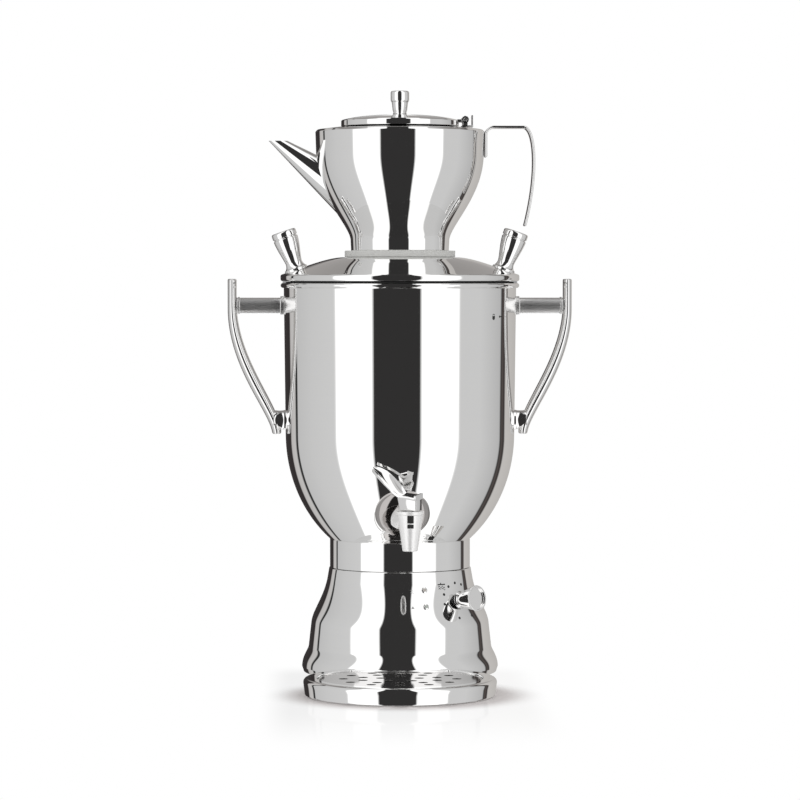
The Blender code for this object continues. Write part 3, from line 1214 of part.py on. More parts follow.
def hinge_leaf():
    """The hinge's fixed half: a leaf on the shoulder, two knuckles and an upright stop."""
    frame = hinge_frame()
    bottom = TEAPOT_MOUTH_HEIGHT + SEAT_GAP
    outer = HINGE_MIDDLE_LENGTH / 2 + RUNNING_GAP + HINGE_SIDE_LENGTH
    gap = HINGE_MIDDLE_LENGTH / 2 + RUNNING_GAP
    leaf = box("hinge_leaf", (HINGE_REACH - HINGE_RADIUS, -outer, bottom),
               (HINGE_LEAF_REACH, outer, bottom + HINGE_LEAF_THICKNESS), "polished_steel")
    joined = [box("stop", (HINGE_LEAF_REACH - HINGE_LEAF_THICKNESS, -gap, bottom + HINGE_LEAF_THICKNESS / 2),
                  (HINGE_LEAF_REACH, gap, HINGE_STOP_TOP))]
    for side in (-1, 1):
        low, high = sorted((side * gap, side * outer))
        joined.append(rod("knuckle", HINGE_RADIUS, low, high, frame=frame))
        joined.append(box("ear", (HINGE_REACH - HINGE_RADIUS * 2 / 3, low, bottom + HINGE_LEAF_THICKNESS / 2),
                          (HINGE_REACH + HINGE_RADIUS * 2 / 3, high, HINGE_HEIGHT)))
    unite(leaf, *joined)
    subtract(leaf, rod("pin_hole", HINGE_PIN_RADIUS + SEAT_GAP, -outer - OVERRUN, outer + OVERRUN, frame=frame,
                       steps=PIN_STEPS))
    return leaf


def teapot_lid():
    """Hinged lid with its knuckle, pin and knob."""
    low = TEAPOT_MOUTH_HEIGHT + SEAT_GAP * 2
    high = low + TEAPOT_LID_BAND
    crown = high + TEAPOT_LID_RISE
    edge = TEAPOT_LID_RADIUS
    plug = TEAPOT_MOUTH_RADIUS - TEAPOT_LID_PLUG_GAP
    plug_low = TEAPOT_MOUTH_HEIGHT - TEAPOT_LID_PLUG_DEPTH
    dome = curved((0, crown), (edge - SHEET / 2, high), ((0.45, 0.0), (0.8, 0.42)), 4)
    under = curved((0, crown - SHEET), (plug - SHEET, high - SHEET), ((0.45, 0.0), (0.8, 0.42)), 3)
    outline = [(0, crown)] + dome + [(edge, high - SHEET / 2), (edge, low), (plug, low), (plug, plug_low),
                                     (plug - SHEET, plug_low)]
    outline += under[::-1] + [(0, crown - SHEET)]
    cover = turned("teapot_lid", outline, "polished_steel", steps=TEAPOT_STEPS)
    frame = hinge_frame()
    half = HINGE_MIDDLE_LENGTH / 2
    tab_low = HINGE_HEIGHT - HINGE_RADIUS * 2 / 3
    unite(cover, rod("knuckle", HINGE_RADIUS, -half, half, frame=frame),
          box("tab", (edge - SHEET, -half, tab_low), (HINGE_REACH, half, tab_low + HINGE_LEAF_THICKNESS * 2)))
    knob_bore = SCREW_RADIUS + RUNNING_GAP
    subtract(cover, rod("pin_hole", HINGE_PIN_RADIUS + SEAT_GAP, -half - OVERRUN, half + OVERRUN, frame=frame,
                        steps=PIN_STEPS),
             rod("knob_hole", knob_bore, crown - SHEET - OVERRUN, crown + OVERRUN, steps=PIN_STEPS))

    end = HINGE_MIDDLE_LENGTH / 2 + RUNNING_GAP + HINGE_SIDE_LENGTH
    pin = rod("hinge_pin", HINGE_PIN_RADIUS, -end, end, "satin_steel", frame, PIN_STEPS)
    start = crown + SEAT_GAP
    top = start + TEAPOT_KNOB_HEIGHT
    outline = [(0, top), (TEAPOT_KNOB_RADIUS * 4 / 5, top), (TEAPOT_KNOB_RADIUS, top - SHEET / 2)]
    spread = TEAPOT_KNOB_RADIUS - TEAPOT_KNOB_NECK_RADIUS
    for out, down in TEAPOT_KNOB_SHARES[::-1]:
        outline.append((TEAPOT_KNOB_NECK_RADIUS + spread * out, start + TEAPOT_KNOB_HEIGHT * down))
    outline = outline[:-1]
    outline += [(TEAPOT_KNOB_NECK_RADIUS, start + SHEET), (TEAPOT_KNOB_FOOT_RADIUS, start),
                (knob_bore, start), (knob_bore, start + SCREW_GRIP), (0, start + SCREW_GRIP)]
    knob = turned("teapot_lid_knob", outline, "polished_steel", steps=SMALL_STEPS)
    fastener = screw("teapot_knob_screw", crown - SHEET - SEAT_GAP, SCREW_GRIP, Matrix())
    return joint_empty("teapot_lid_axis", frame, cover, knob, fastener), pin


def drip_tray():
    """Loose tray hugging the base, its rubber pads and the perforated grate that lifts out."""
    centre = Matrix.Rotation(TRAY_TURN, 4, "Z") @ Matrix.Translation((0, -TRAY_CENTRE, 0))
    bottom = TRAY_FOOT_HEIGHT + SEAT_GAP
    top = TRAY_HEIGHT
    grate_top = top - GRATE_DEPTH + GRATE_THICKNESS
    ledge = top - GRATE_DEPTH - SEAT_GAP
    floor = bottom + TRAY_FLOOR_THICKNESS
    back_radius = HOUSING_FLARE_RADIUS + TRAY_BACK_GAP

    rim = arc((TRAY_RADIUS - TRAY_RIM_ROUND, top - TRAY_RIM_ROUND), TRAY_RIM_ROUND, 90, 0, 3)
    outline = [(0, top)] + rim + [(TRAY_BOTTOM_RADIUS, bottom), (0, bottom)]
    tray = turned("drip_tray", outline, "polished_steel", centre)
    subtract(tray, tray_back("back_cut", back_radius, -OVERRUN, top + OVERRUN))
    recess = rod("recess", TRAY_RECESS_RADIUS, ledge, top + OVERRUN, frame=centre, steps=BIG_STEPS)
    subtract(recess, tray_back("back_cut", back_radius + TRAY_BACK_WALL, 0, top * 2))
    basin = rod("basin", TRAY_LEDGE_RADIUS, floor, top, frame=centre, steps=BIG_STEPS)
    back_inner = back_radius + TRAY_BACK_WALL + TRAY_RECESS_RADIUS - TRAY_LEDGE_RADIUS
    subtract(basin, tray_back("back_cut", back_inner, 0, top * 2))
    subtract(tray, recess, basin)

    grate = rod("drip_grate", TRAY_RECESS_RADIUS - RUNNING_GAP, grate_top - GRATE_THICKNESS, grate_top,
                "satin_steel", centre, BIG_STEPS)
    subtract(grate, tray_back("back_cut", back_radius + TRAY_BACK_WALL + RUNNING_GAP, 0, top * 2))
    holes = []
    for radius, count, first in GRATE_RINGS:
        for index in range(count):
            angle = math.radians(first) + 2 * math.pi * index / count
            shift = Matrix.Translation((radius * math.cos(angle), radius * math.sin(angle), 0))
            holes.append(rod("drip_hole", GRATE_HOLE_RADIUS, grate_top - GRATE_THICKNESS - OVERRUN,
                             grate_top + OVERRUN, frame=centre @ shift, steps=HOLE_STEPS))
    subtract(grate, *holes)

    pads = []
    for index, angle in enumerate(math.radians(degrees) for degrees in TRAY_PAD_ANGLES):
        shift = Matrix.Translation((TRAY_PAD_CIRCLE_RADIUS * math.cos(angle),
                                    TRAY_PAD_CIRCLE_RADIUS * math.sin(angle), 0))
        pads.append(rod("tray_pad_%d" % (index + 1), TRAY_PAD_RADIUS, 0, TRAY_FOOT_HEIGHT, "black_rubber",
                        centre @ shift, PIN_STEPS))
    slide = joint_empty("tray_axis", centre, tray, *pads)
    lift = joint_empty("grate_axis", centre, grate)
    carry(slide, lift)


def tray_back(name, radius, low, high):
    """A cutter that follows the round base, for what stands in front of it."""
    return rod(name, radius, low, high, steps=BIG_STEPS)


def samovar():
    """Build every sub-part and hang the joints' empties on each other."""
    empty_scene()
    make_finishes()
    base()
    vessel()
    carrying_handles()
    heater()
    wiring()
    dial()
    lamps()
    tap()
    lid_turn = lid()
    teapot_lift = teapot()
    lid_hinge, pin = teapot_lid()
    carry(lid_turn, teapot_lift)
    carry(teapot_lift, lid_hinge, pin)
    drip_tray()


samovar()
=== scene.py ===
"""The electric samovar's finished surfaces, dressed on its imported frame.

Metres, +Z up. The origin is on the vessel's axis at the height of the foot soles. The tap
faces -Y, the two carrying handles lie along X and the teapot's spout points to -X.
"""

import json
import math

import bmesh
import bpy
from mathutils import Matrix, Vector


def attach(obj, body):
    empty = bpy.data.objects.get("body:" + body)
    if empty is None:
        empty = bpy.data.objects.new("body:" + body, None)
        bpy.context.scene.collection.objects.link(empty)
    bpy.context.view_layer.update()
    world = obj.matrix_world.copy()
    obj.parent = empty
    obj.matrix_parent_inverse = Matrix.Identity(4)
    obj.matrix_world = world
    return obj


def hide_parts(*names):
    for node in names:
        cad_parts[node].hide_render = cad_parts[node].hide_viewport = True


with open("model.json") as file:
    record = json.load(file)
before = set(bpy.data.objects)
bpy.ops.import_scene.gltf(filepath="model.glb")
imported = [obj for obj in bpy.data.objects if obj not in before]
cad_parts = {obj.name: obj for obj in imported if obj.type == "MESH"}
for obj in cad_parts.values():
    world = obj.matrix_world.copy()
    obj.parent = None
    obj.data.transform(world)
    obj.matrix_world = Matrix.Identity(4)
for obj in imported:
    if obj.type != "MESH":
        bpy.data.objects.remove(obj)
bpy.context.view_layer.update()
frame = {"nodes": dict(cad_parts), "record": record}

bl_info = {
    "name": "Electric samovar",
    "version": (1, 0, 0),
    "blender": (4, 5, 0),
    "location": "View3D > Sidebar > Samovar",
    "description": "Dresses the samovar's packed frame with its finished surfaces",
    "category": "Add Mesh",
}

# Clearances and walls
SEAT_GAP = 0.0003
SEATED = 0.0002
RUNNING_GAP = 0.0004
SHEET = 0.0015
OVERRUN = 0.002
WELD = 0.000002
SEED = 0.001

# How finely curves are cut, and what counts as a corner
SMOOTH_ANGLE = math.radians(32)
CORNER_ANGLE = math.radians(14)
CORNER_STEPS = 5
CORNER_RUN_SHARE = 0.45
SUPPORT_SHARE = 0.6
PIN_STEPS = 32
BAR_STEPS = 4
BAR_END_CLEARANCE = 1.2
EDGE_SEGMENTS = 3

# The coarser steps of the CAD model's curves, on which fittings stand
HOUSING_CAD_STEPS = 6
VESSEL_CAD_STEPS = 7
LID_CAD_STEPS = 4

# Base plate and feet
FOOT_HEIGHT = 0.0040
FOOT_RADIUS = 0.0075
FOOT_SOLE_RADIUS = 0.0062
FOOT_CIRCLE_RADIUS = 0.0620
FOOT_COUNT = 4

# Base housing, a spun shell
HOUSING_EDGE_RADIUS = 0.0772
HOUSING_FLARE_RADIUS = 0.0786
HOUSING_FLARE_HEIGHT = 0.0085
HOUSING_CREASE_RADIUS = 0.0733
HOUSING_CREASE_HEIGHT = 0.0243
HOUSING_BELLY_RADIUS = 0.0711
HOUSING_BELLY_HEIGHT = 0.0440
HOUSING_NECK_RADIUS = 0.0584
HOUSING_NECK_HEIGHT = 0.0780
HOUSING_TOP_RADIUS = 0.0567
HOUSING_TOP_HEIGHT = 0.0878
HOUSING_SHELF_RADIUS = 0.0510
SHOULDER_SHARES = ((0.26, 0.45), (0.93, 0.75))
FLARE_SHARES = ((0.22, 0.25), (1.0, 0.55))
HOUSING_STEPS = 22

# Neck ring and vessel
NECK_RING_RADIUS = 0.0561
VESSEL_TOP_RADIUS = 0.0930
VESSEL_SHOULDER_RADIUS = 0.0916
VESSEL_SHOULDER_HEIGHT = 0.1950
BOWL_DEPTH = 0.1065
VESSEL_FLOOR_RADIUS = 0.0500
RIM_BEAD_RADIUS = 0.0020
RIM_BEAD_HEIGHT = 0.3136
RIM_BEAD_STEPS = 18
BOWL_STEPS = 30

# Bayonet between the vessel and its lid
LUG_COUNT = 3
LUG_WIDTH = 0.0150
LUG_THICKNESS = 0.0025
LUG_INNER_RADIUS = 0.0881
LUG_START = math.radians(30)
VESSEL_LUG_HEIGHT = 0.3064
LID_LUG_RADIUS = 0.0903
UNLOCKED_TURN = math.radians(13)

# Lid
GASKET_THICKNESS = 0.0008
GASKET_FLANGE_RADIUS = 0.0940
GASKET_PLUG_DEPTH = 0.0050
LID_EDGE_RADIUS = 0.0956
LID_EDGE_HEIGHT = 0.0050
LID_EDGE_ROUND = 0.0016
LID_DOME_RADIUS = 0.0920
LID_DOME_HEIGHT = 0.3232
LID_CROWN_RADIUS = 0.0476
LID_CROWN_HEIGHT = 0.3360
LID_SKIRT_RADIUS = 0.0876
LID_DOME_SHARES = ((0.30, 0.08), (0.66, 0.62))
LID_DOME_STEPS = 24
VENT_RADIUS = 0.0030
VENT_CIRCLE_RADIUS = 0.0200
VENT_COUNT = 6
SEAT_RING_RADIUS = 0.0442
SEAT_RING_HEIGHT = 0.0052
SEAT_RING_LIP_RADIUS = 0.0404
SEAT_RING_LEDGE_RADIUS = 0.0345
SEAT_RING_LEDGE_HEIGHT = 0.0024

# Lid knobs
KNOB_CIRCLE_RADIUS = 0.0830
KNOB_FOOT_RADIUS = 0.0092
KNOB_NECK_RADIUS = 0.0066
KNOB_CAP_RADIUS = 0.0100
KNOB_GROOVE_RADIUS = 0.0092
KNOB_FOOT_HEIGHT = 0.0060
KNOB_GROOVE_HEIGHT = 0.0262
KNOB_CAP_HEIGHT = 0.0274
KNOB_HEIGHT = 0.0322
KNOB_SIDE_SHARES = ((0.12, 0.38), (0.80, 0.72))
KNOB_SIDE_STEPS = 14
KNOB_SPREAD_SHARES = ((0.08, 0.5), (0.5, 0.95))
KNOB_SPREAD_STEPS = 10
SCREW_RADIUS = 0.0017
SCREW_GRIP = 0.0100

# Carrying handles
HANDLE_ARM_HEIGHT = 0.2976
HANDLE_ARM_RADIUS = 0.0062
HANDLE_COLLAR_RADIUS = 0.0074
HANDLE_COLLAR_LENGTH = 0.0030
HANDLE_RING_RADIUS = 0.0068
HANDLE_RING_LENGTH = 0.0014
HANDLE_RING_GAP = 0.0012
HANDLE_REACH = 0.1342
HANDLE_TOP_HEIGHT = 0.3188
HANDLE_END_REACH = 0.0987
HANDLE_END_HEIGHT = 0.1948
HANDLE_THICKNESS = 0.0072
HANDLE_WIDTH = 0.0140
HANDLE_SWELL = 0.293
HANDLE_ROUND = 0.0012
HANDLE_SHARES = ((0.0, 0.46), (1.0, 0.812))
HANDLE_STEPS = 120
HANDLE_SECTION_STEPS = 40
HANDLE_STRAIGHT_STEPS = 6
FOOT_PAD_HEIGHT = 0.2060
FOOT_PAD_RADIUS = 0.0074
FOOT_PAD_END_RADIUS = 0.0080
FOOT_PAD_INNER_SHARES = ((0.7, 0.2), (1.0, 0.6))
FOOT_PAD_OUTER_SHARES = ((0.0, 0.4), (0.3, 0.8))
FOOT_PAD_STEPS = 8

# Cord gland at the back
GLAND_HEIGHT = 0.0340
GLAND_FLANGE_RADIUS = 0.0082
GLAND_NECK_RADIUS = 0.0055
GLAND_BORE_RADIUS = 0.0034
GLAND_STAND = 0.0042
GLAND_NECK_LENGTH = 0.0080

# Dial
DIAL_AZIMUTH = math.radians(44.5)
DIAL_HEIGHT = 0.0650
DIAL_TILT = math.radians(7.5)
DIAL_START = 0.0034
DIAL_LENGTH = 0.0188
DIAL_SKIRT_RADIUS = 0.0074
DIAL_WAIST_RADIUS = 0.0054
DIAL_CAP_RADIUS = 0.0104
DIAL_BEZEL_WIDTH = 0.0016
DIAL_RECESS = 0.0018
DIAL_SHARES = ((0.10, 0.0), (0.38, 0.38), (0.90, 0.86), (1.0, 1.0))
SHAFT_RADIUS = 0.0028
SHAFT_GRIP = 0.0090

# Lamps
LAMP_AZIMUTHS = (math.radians(17.4), math.radians(17.1))
LAMP_HEIGHTS = (0.0740, 0.0612)
LAMP_BEZEL_RADIUS = 0.0024
LAMP_HOLE_RADIUS = 0.0021
LAMP_LENS_RADIUS = 0.0012
LAMP_LENGTH = 0.0070
LAMP_STAND = 0.0010
LENS_SHARES = ((0.5, 0.0), (1.0, 0.5))
LENS_STEPS = 8

# Tap
TAP_HEIGHT = 0.1350
TAP_TURN = math.radians(7)
TAP_ARM = 0.0400
ROSETTE_RADIUS = 0.0215
ROSETTE_DOME = 0.0055
ROSETTE_EDGE = 0.0024
ROSETTE_SHARES = ((0.72, 0.0), (0.94, 0.30))
ROSETTE_STEPS = 24
HUB_RADIUS = 0.0118
HUB_END_RADIUS = 0.0050
HUB_LENGTH = 0.0310
HUB_SHARES = ((0.0, 0.45), (0.42, 0.80))
HUB_STEPS = 20
SHANK_RADIUS = 0.0070
SHANK_INSIDE = 0.0210
INLET_RADIUS = 0.0032
BARREL_TOP_HEIGHT = 0.1403
BARREL_BOTTOM_HEIGHT = 0.1094
BARREL_RADIUS = 0.0105
BARREL_COLLAR_HEIGHT = 0.0023
BARREL_COLLAR_STEP = 0.0005
BARREL_NOZZLE_RADIUS = 0.0058
BARREL_NOZZLE_ROUND = 0.0022
NOZZLE_BORE_RADIUS = 0.0036
CHAMBER_TOP_RADIUS = 0.0074
CHAMBER_LOW_RADIUS = 0.0060
CHAMBER_FLOOR_HEIGHT = 0.1240

# Tap lever
LEVER_REST_ANGLE = math.radians(145)
LEVER_HEEL = 0.0084
LEVER_TOE = 0.0067
LEVER_THROAT = 0.0090
LEVER_HUB_WIDTH = 0.0092
LEVER_HUB_HEIGHT = 0.0100
LEVER_HUB_ROUND = 0.0007
LEVER_BLADE_WIDTH = 0.0150
LEVER_BLADE_THICKNESS = 0.0024
LEVER_DISH = 0.0014
LEVER_CROWN = 0.0003
LEVER_EDGE_ROUND = 0.0003
LEVER_HEEL_HEIGHT = 0.0101
LEVER_DIP_REACH = 0.0070
LEVER_DIP_HEIGHT = 0.0116
LEVER_REACH = 0.0345
LEVER_RISE = 0.0318
LEVER_SHARES = ((0.17, 0.14), (0.60, 0.82))
LEVER_PLAN_SHARES = ((0.0, 0.69), (0.35, 0.69), (0.52, 0.94), (0.66, 1.0), (0.82, 0.90), (0.93, 0.62),
                     (0.98, 0.34), (1.0, 0.12))
LEVER_ROLL = 0.16
LEVER_END_WALL = 0.0016
LEVER_END_HEIGHT = 0.0130
LEVER_STEPS = 30
LEVER_STRAIGHT_STEPS = 6
LEVER_WALL_SHARES = (0.0, 0.9, 1.3)
LEVER_DISH_SPREAD = 1.3
LEVER_EASED_SHARE = 0.7
LEVER_EDGE_LIMIT = 0.4
LEVER_EDGE_CUT = 0.3
LEVER_SECTION_STEPS = 8

# Teapot
TEAPOT_RIM_RADIUS = 0.0676
TEAPOT_RIM_HEIGHT = 0.4362
TEAPOT_SHOULDER_HEIGHT = 0.4379
TEAPOT_SHOULDER_RADIUS = 0.0660
TEAPOT_MOUTH_HEIGHT = 0.4400
TEAPOT_MOUTH_LAND_RADIUS = 0.0480
TEAPOT_MOUTH_RADIUS = 0.0436
TEAPOT_BELLY_RADIUS = 0.0670
TEAPOT_BELLY_HEIGHT = 0.4180
TEAPOT_WAIST_RADIUS = 0.0395
TEAPOT_WAIST_HEIGHT = 0.3500
TEAPOT_FOOT_RADIUS = 0.0390
TEAPOT_SHARES = ((0.018, 0.485), (0.964, 0.824))
TEAPOT_SIDE_STEPS = 36
TEAPOT_LID_RADIUS = 0.0470
TEAPOT_LID_BAND = 0.0050
TEAPOT_LID_RISE = 0.0044
TEAPOT_LID_PLUG_DEPTH = 0.0060
TEAPOT_LID_PLUG_GAP = 0.0008
TEAPOT_LID_SHARES = ((0.45, 0.0), (0.8, 0.42))
TEAPOT_LID_STEPS = 20
TEAPOT_LID_INNER_STEPS = 12
TEAPOT_KNOB_RADIUS = 0.0074
TEAPOT_KNOB_NECK_RADIUS = 0.0050
TEAPOT_KNOB_FOOT_RADIUS = 0.0064
TEAPOT_KNOB_HEIGHT = 0.0186
TEAPOT_KNOB_SHARES = ((0.10, 0.0), (0.34, 0.20), (0.62, 0.52), (1.0, 0.60))
HINGE_REACH = 0.0520
HINGE_HEIGHT = 0.4458
HINGE_RADIUS = 0.0030
HINGE_PIN_RADIUS = 0.0011
HINGE_BORE_RADIUS = 0.00116
HINGE_MIDDLE_LENGTH = 0.0080
HINGE_SIDE_LENGTH = 0.0045
HINGE_LEAF_THICKNESS = 0.0012
HINGE_LEAF_REACH = 0.0584
HINGE_STOP_TOP = 0.4496
HINGE_ROUND = 0.0003
SPOUT_ROOT_REACH = 0.0590
SPOUT_ROOT_HEIGHT = 0.3995
SPOUT_ROOT_RADIUS = 0.0134
SPOUT_TIP_REACH = 0.0992
SPOUT_TIP_HEIGHT = 0.4290
SPOUT_TIP_RADIUS = 0.0042
SPOUT_WALL = 0.0010
SPOUT_ROOT_OVERRUN = 0.0240
SPOUT_TIP_OVERRUN = 0.0100
STRAINER_RADIUS = 0.0020
STRAINER_CIRCLE_RADIUS = 0.0062
STRAINER_COUNT = 6
STRAP_THICKNESS = 0.0020
STRAP_WIDTH = 0.0160
STRAP_FOOT_HEIGHT = 0.4160
STRAP_TOP_HEIGHT = 0.4400
STRAP_CORNER_RADIUS = 0.0065
STRAP_LEVEL_REACH = 0.0988
STRAP_BEND_REACH = 0.1080
STRAP_BULGE_REACH = 0.1110
STRAP_BULGE_SHARE = 0.544
STRAP_END_REACH = 0.0998
STRAP_END_HEIGHT = 0.3610
STRAP_STEPS = 150
STRAP_CORNER_STEPS = 14
STRAP_STRAIGHT_STEPS = 4
STRAP_ROUND = 0.00098
STRAP_END_ROUND_SHARE = 0.06

# Drip tray
TRAY_CENTRE = 0.1300
TRAY_TURN = math.radians(-1.45)
TRAY_RADIUS = 0.0746
TRAY_BOTTOM_RADIUS = 0.0730
TRAY_HEIGHT = 0.0138
TRAY_FOOT_HEIGHT = 0.0008
TRAY_RECESS_RADIUS = 0.0632
TRAY_FLOOR_THICKNESS = 0.0015
TRAY_LEDGE_RADIUS = 0.0590
TRAY_BACK_GAP = 0.0040
TRAY_BACK_WALL = 0.0055
TRAY_RIM_ROUND = 0.0030
TRAY_RIM_BLEND = 0.0040
TRAY_EDGE_ROUND = 0.0006
TRAY_LIP_ROUND = 0.0009
TRAY_CORNER_ROUND = 0.0020
TRAY_ARC_STEPS = 96
TRAY_BACK_STEPS = 24
GRATE_DEPTH = 0.0026
GRATE_THICKNESS = 0.0015
GRATE_RINGS = ((0.0435, 12, 0.0), (0.0298, 10, 18.0), (0.0155, 5, 90.0))
GRATE_HOLE_RADIUS = 0.0037
GRATE_HOLE_ROUND = 0.0003
GRATE_HOLE_STEPS = 28
GRATE_HOLE_SEGMENTS = 2
GRATE_HOLE_ANGLE = math.radians(60)
TRAY_PAD_RADIUS = 0.0050
TRAY_PAD_CIRCLE_RADIUS = 0.0560
TRAY_PAD_ANGLES = (270.0, 35.0, 145.0)

# Marks printed on the steel: place as an angle from the front and a height
MARK_THICKNESS = 0.00006
DOT_RADIUS = 0.0011
DIAL_DOTS = ((46.6, 0.0782), (54.1, 0.0765), (39.1, 0.0758), (33.5, 0.0700), (32.3, 0.0626), (41.6, 0.0515),
             (54.6, 0.0523))
DOT_STEPS = 18
DOT_LAST_ANGLE = 342.0
WAVE_STEPS = 16
WAVE_LENGTH_STEPS = 8
WAVE_SWING = 1.4
HEAT_SIGN = (32.5, 0.0778)
HEAT_LINES = ((0.0, 0.0, 0.0070, 0.0009), (-0.0006, 0.0019, 0.0008, 0.0030))
HEAT_WAVE_RISES = (-0.0020, -0.0038)
HEAT_WAVE = (0.0060, 0.0006)
STEAM_SIGN = (7.6, 0.0729)
STEAM_WAVE_RISES = (-0.0009, 0.0009)
STEAM_WAVE = (0.0026, 0.0004)
DROP_SIGN = (7.6, 0.0608)
DROP_OUTLINE = ((-0.0013, -0.0010), (0.0013, -0.0010), (0, 0.0016))
DROP_HOLLOW = 0.6
# Painted reflection: dark patches on the front of the tap's barrel, each a lowest height and a height
BARREL_PAINTED_REFLECTIONS = ((0.1315, 0.0059), (0.1276, 0.0030))
BARREL_REFLECTION_WIDTH = 0.0050
BARREL_REFLECTION_COLUMNS = 12
BARREL_REFLECTION_ROWS = 4
LOCK_SIGN = (51.0, 0.2892)
LOCK_BODY_RADIUS = 0.0016
LOCK_BODY_CENTRE = (0, -0.0010)
LOCK_BODY_TOP = 0.0006
HASP_CENTRE = (0, 0.0010)
HASP_OUTER_RADIUS = 0.0013
HASP_INNER_RADIUS = 0.0008
LOCK_STEPS = 12
ARROW_SIGN = (56.9, 0.2892)
ARROW_SHAFT = (0.0004, 0.0, 0.0032, 0.0008)
ARROW_HEAD = ((-0.0022, 0), (-0.0006, -0.0012), (-0.0006, 0.0012))

# Metal finishes: colour, roughness, how far its lines darken it, and how deep it waves
METALS = {
    "polished_steel": ("steel", 0.025, 0.03, 0.00001),
    "cast_chrome": ("chrome", 0.040, 0.02, 0.00001),
    "arm_chrome": ("chrome", 0.30, 0.04, 0.00001),
    "barrel_chrome": ("chrome", 0.34, 0.04, 0.00001),
    "satin_steel": ("satin", 0.28, 0.10, 0.00002),
    "tray_steel": ("steel", 0.025, 0.03, 0.00001),
    "grate_steel": ("grate", 0.07, 0.05, 0.00001),
    "rosette_chrome": ("rosette", 0.06, 0.05, 0.00001),
    "aluminium": ("aluminium", 0.40, 0.12, 0.00003),
    "element_steel": ("element", 0.50, 0.20, 0.00004),
}
BARREL_METALLIC = 0.45
BASIN_ROUGHNESS = 0.5
TURNING_LINES = (6.0, 6.0, 900.0)
PATCH_SCALE = 34.0
WAVE_SCALE = 11.0
NOISE_DETAIL = 3.0
STEEL_GLOSS = (0.7, 1.3)

# Moulded finishes: colour, roughness, scale of the grain and its depth
MOULDED = {
    "black_plastic": ("plastic", 0.45, 2600.0, 0.00002),
    "black_rubber": ("rubber", 0.80, 1800.0, 0.00003),
    "pale_silicone": ("pale_silicone", 0.50, 1500.0, 0.00001),
    "dark_silicone": ("dark_silicone", 0.60, 1500.0, 0.00001),
    "amber_lens": ("amber", 0.15, 900.0, 0.00001),
    "green_lens": ("green", 0.15, 900.0, 0.00001),
    "printed_marks": ("ink", 0.55, 2200.0, 0.000005),
    "faint_marks": ("faint_ink", 0.55, 2200.0, 0.000005),
}
CLOUD_SCALE = 0.06
CLOUD_GLOSS = (0.88, 1.1)
SPECKLE_TONES = (0.85, 1.12)

# Camera and stage
CAMERA_PLACE = (-0.0722, -2.759, 0.322)
CAMERA_PITCH = math.radians(90 - 2.08)
CAMERA_YAW = math.radians(-1.5)
CAMERA_LENS = 155.0
CAMERA_SENSOR = 36.0
FLOOR_SIZE = 16.0
SHADOW_CENTRE = 0.130
SHADOW_START = 0.076
SHADOW_END = 0.112
# Painted shadow: how far the floor's colour darkens towards the shadow colour close to the tray
PAINTED_SHADOW_DEPTH = 0.55
SHEEN = 0.13
SHEEN_START = 0.21
SHEEN_END = 0.44
SHEEN_HALF_WIDTH = 0.085
STUDIO_TURN = math.radians(3.0)
STUDIO_NARROWING = 0.6
STUDIO_NARROWING_BELOW = 0.35
STUDIO_LEVEL = 0.92
CEILING_TINT = (1.0, 0.955, 0.93)
CEILING_TONES = (0.46, 0.22)
CEILING_RISE = (0.12, 0.30)
CEILING_DEPTH = (0.05, 0.35)
CEILING_SLOPE = 1.2
CEILING_EDGE = 0.12
GLOSS_TINT = (1.0, 0.96, 0.95, 1)
GLOSS_ROUGHNESS = 0.05

# What polished steel sees at each angle from the front: lit boxes and walls between dark lines
WHITE_NEAR_FRONT = (1.30, 1.30, 1.30)
WHITE_FAR = (1.26, 1.26, 1.26)
DARK_FRONT = (0.034, 0.033, 0.033)
DARK_LEFT = (0.03, 0.03, 0.03)
WALL_RIGHT = (0.66, 0.66, 0.66)
STUDIO_WALLS = (
    (-177, (0.30, 0.28, 0.27)), (-172, (0.05, 0.045, 0.045)), (-140, (0.035, 0.03, 0.03)),
    (-138, (0.55, 0.53, 0.52)), (-127, (0.60, 0.59, 0.58)), (-126, DARK_LEFT), (-122, DARK_LEFT),
    (-121, (0.58, 0.58, 0.58)), (-96, (0.64, 0.64, 0.64)), (-65.0, (0.68, 0.68, 0.68)), (-63.4, WHITE_FAR),
    (-24.3, WHITE_NEAR_FRONT), (-23.4, DARK_FRONT), (23.4, DARK_FRONT), (24.3, WHITE_NEAR_FRONT),
    (63.4, WHITE_FAR), (65.0, WALL_RIGHT), (90, WALL_RIGHT), (122, (0.52, 0.52, 0.52)),
    (124, (0.02, 0.02, 0.02)), (127, (0.10, 0.085, 0.08)), (132, (0.03, 0.025, 0.025)),
    (134.5, (0.60, 0.58, 0.56)), (179, (0.50, 0.48, 0.46)))


def edge_setting(name, description, value):
    """A setting for the radius of an edge."""
    return bpy.props.FloatProperty(name=name, description=description, default=value, min=0.0001, max=0.001,
                                   precision=5, unit="LENGTH")


def colour_setting(name, description, value):
    """A setting for the colour of a finish."""
    return bpy.props.FloatVectorProperty(name=name, description=description, default=value, min=0, max=1,
                                         subtype="COLOR")


class SamovarSizes(bpy.types.PropertyGroup):
    """How finely the samovar is turned and how soft its edges are."""

    vessel_steps: bpy.props.IntProperty(
        name="Vessel facets", description="Facets round the vessel, lid and base", default=160, min=48,
        max=256)
    fitting_steps: bpy.props.IntProperty(
        name="Fitting facets", description="Facets round knobs, dial, tap and feet", default=72, min=24,
        max=128)
    edge_round: edge_setting("Edge round", "Radius on the edges of turned sheet steel", 0.0006)
    fine_round: edge_setting("Fine edge round", "Radius on the edges of small fittings", 0.0003)


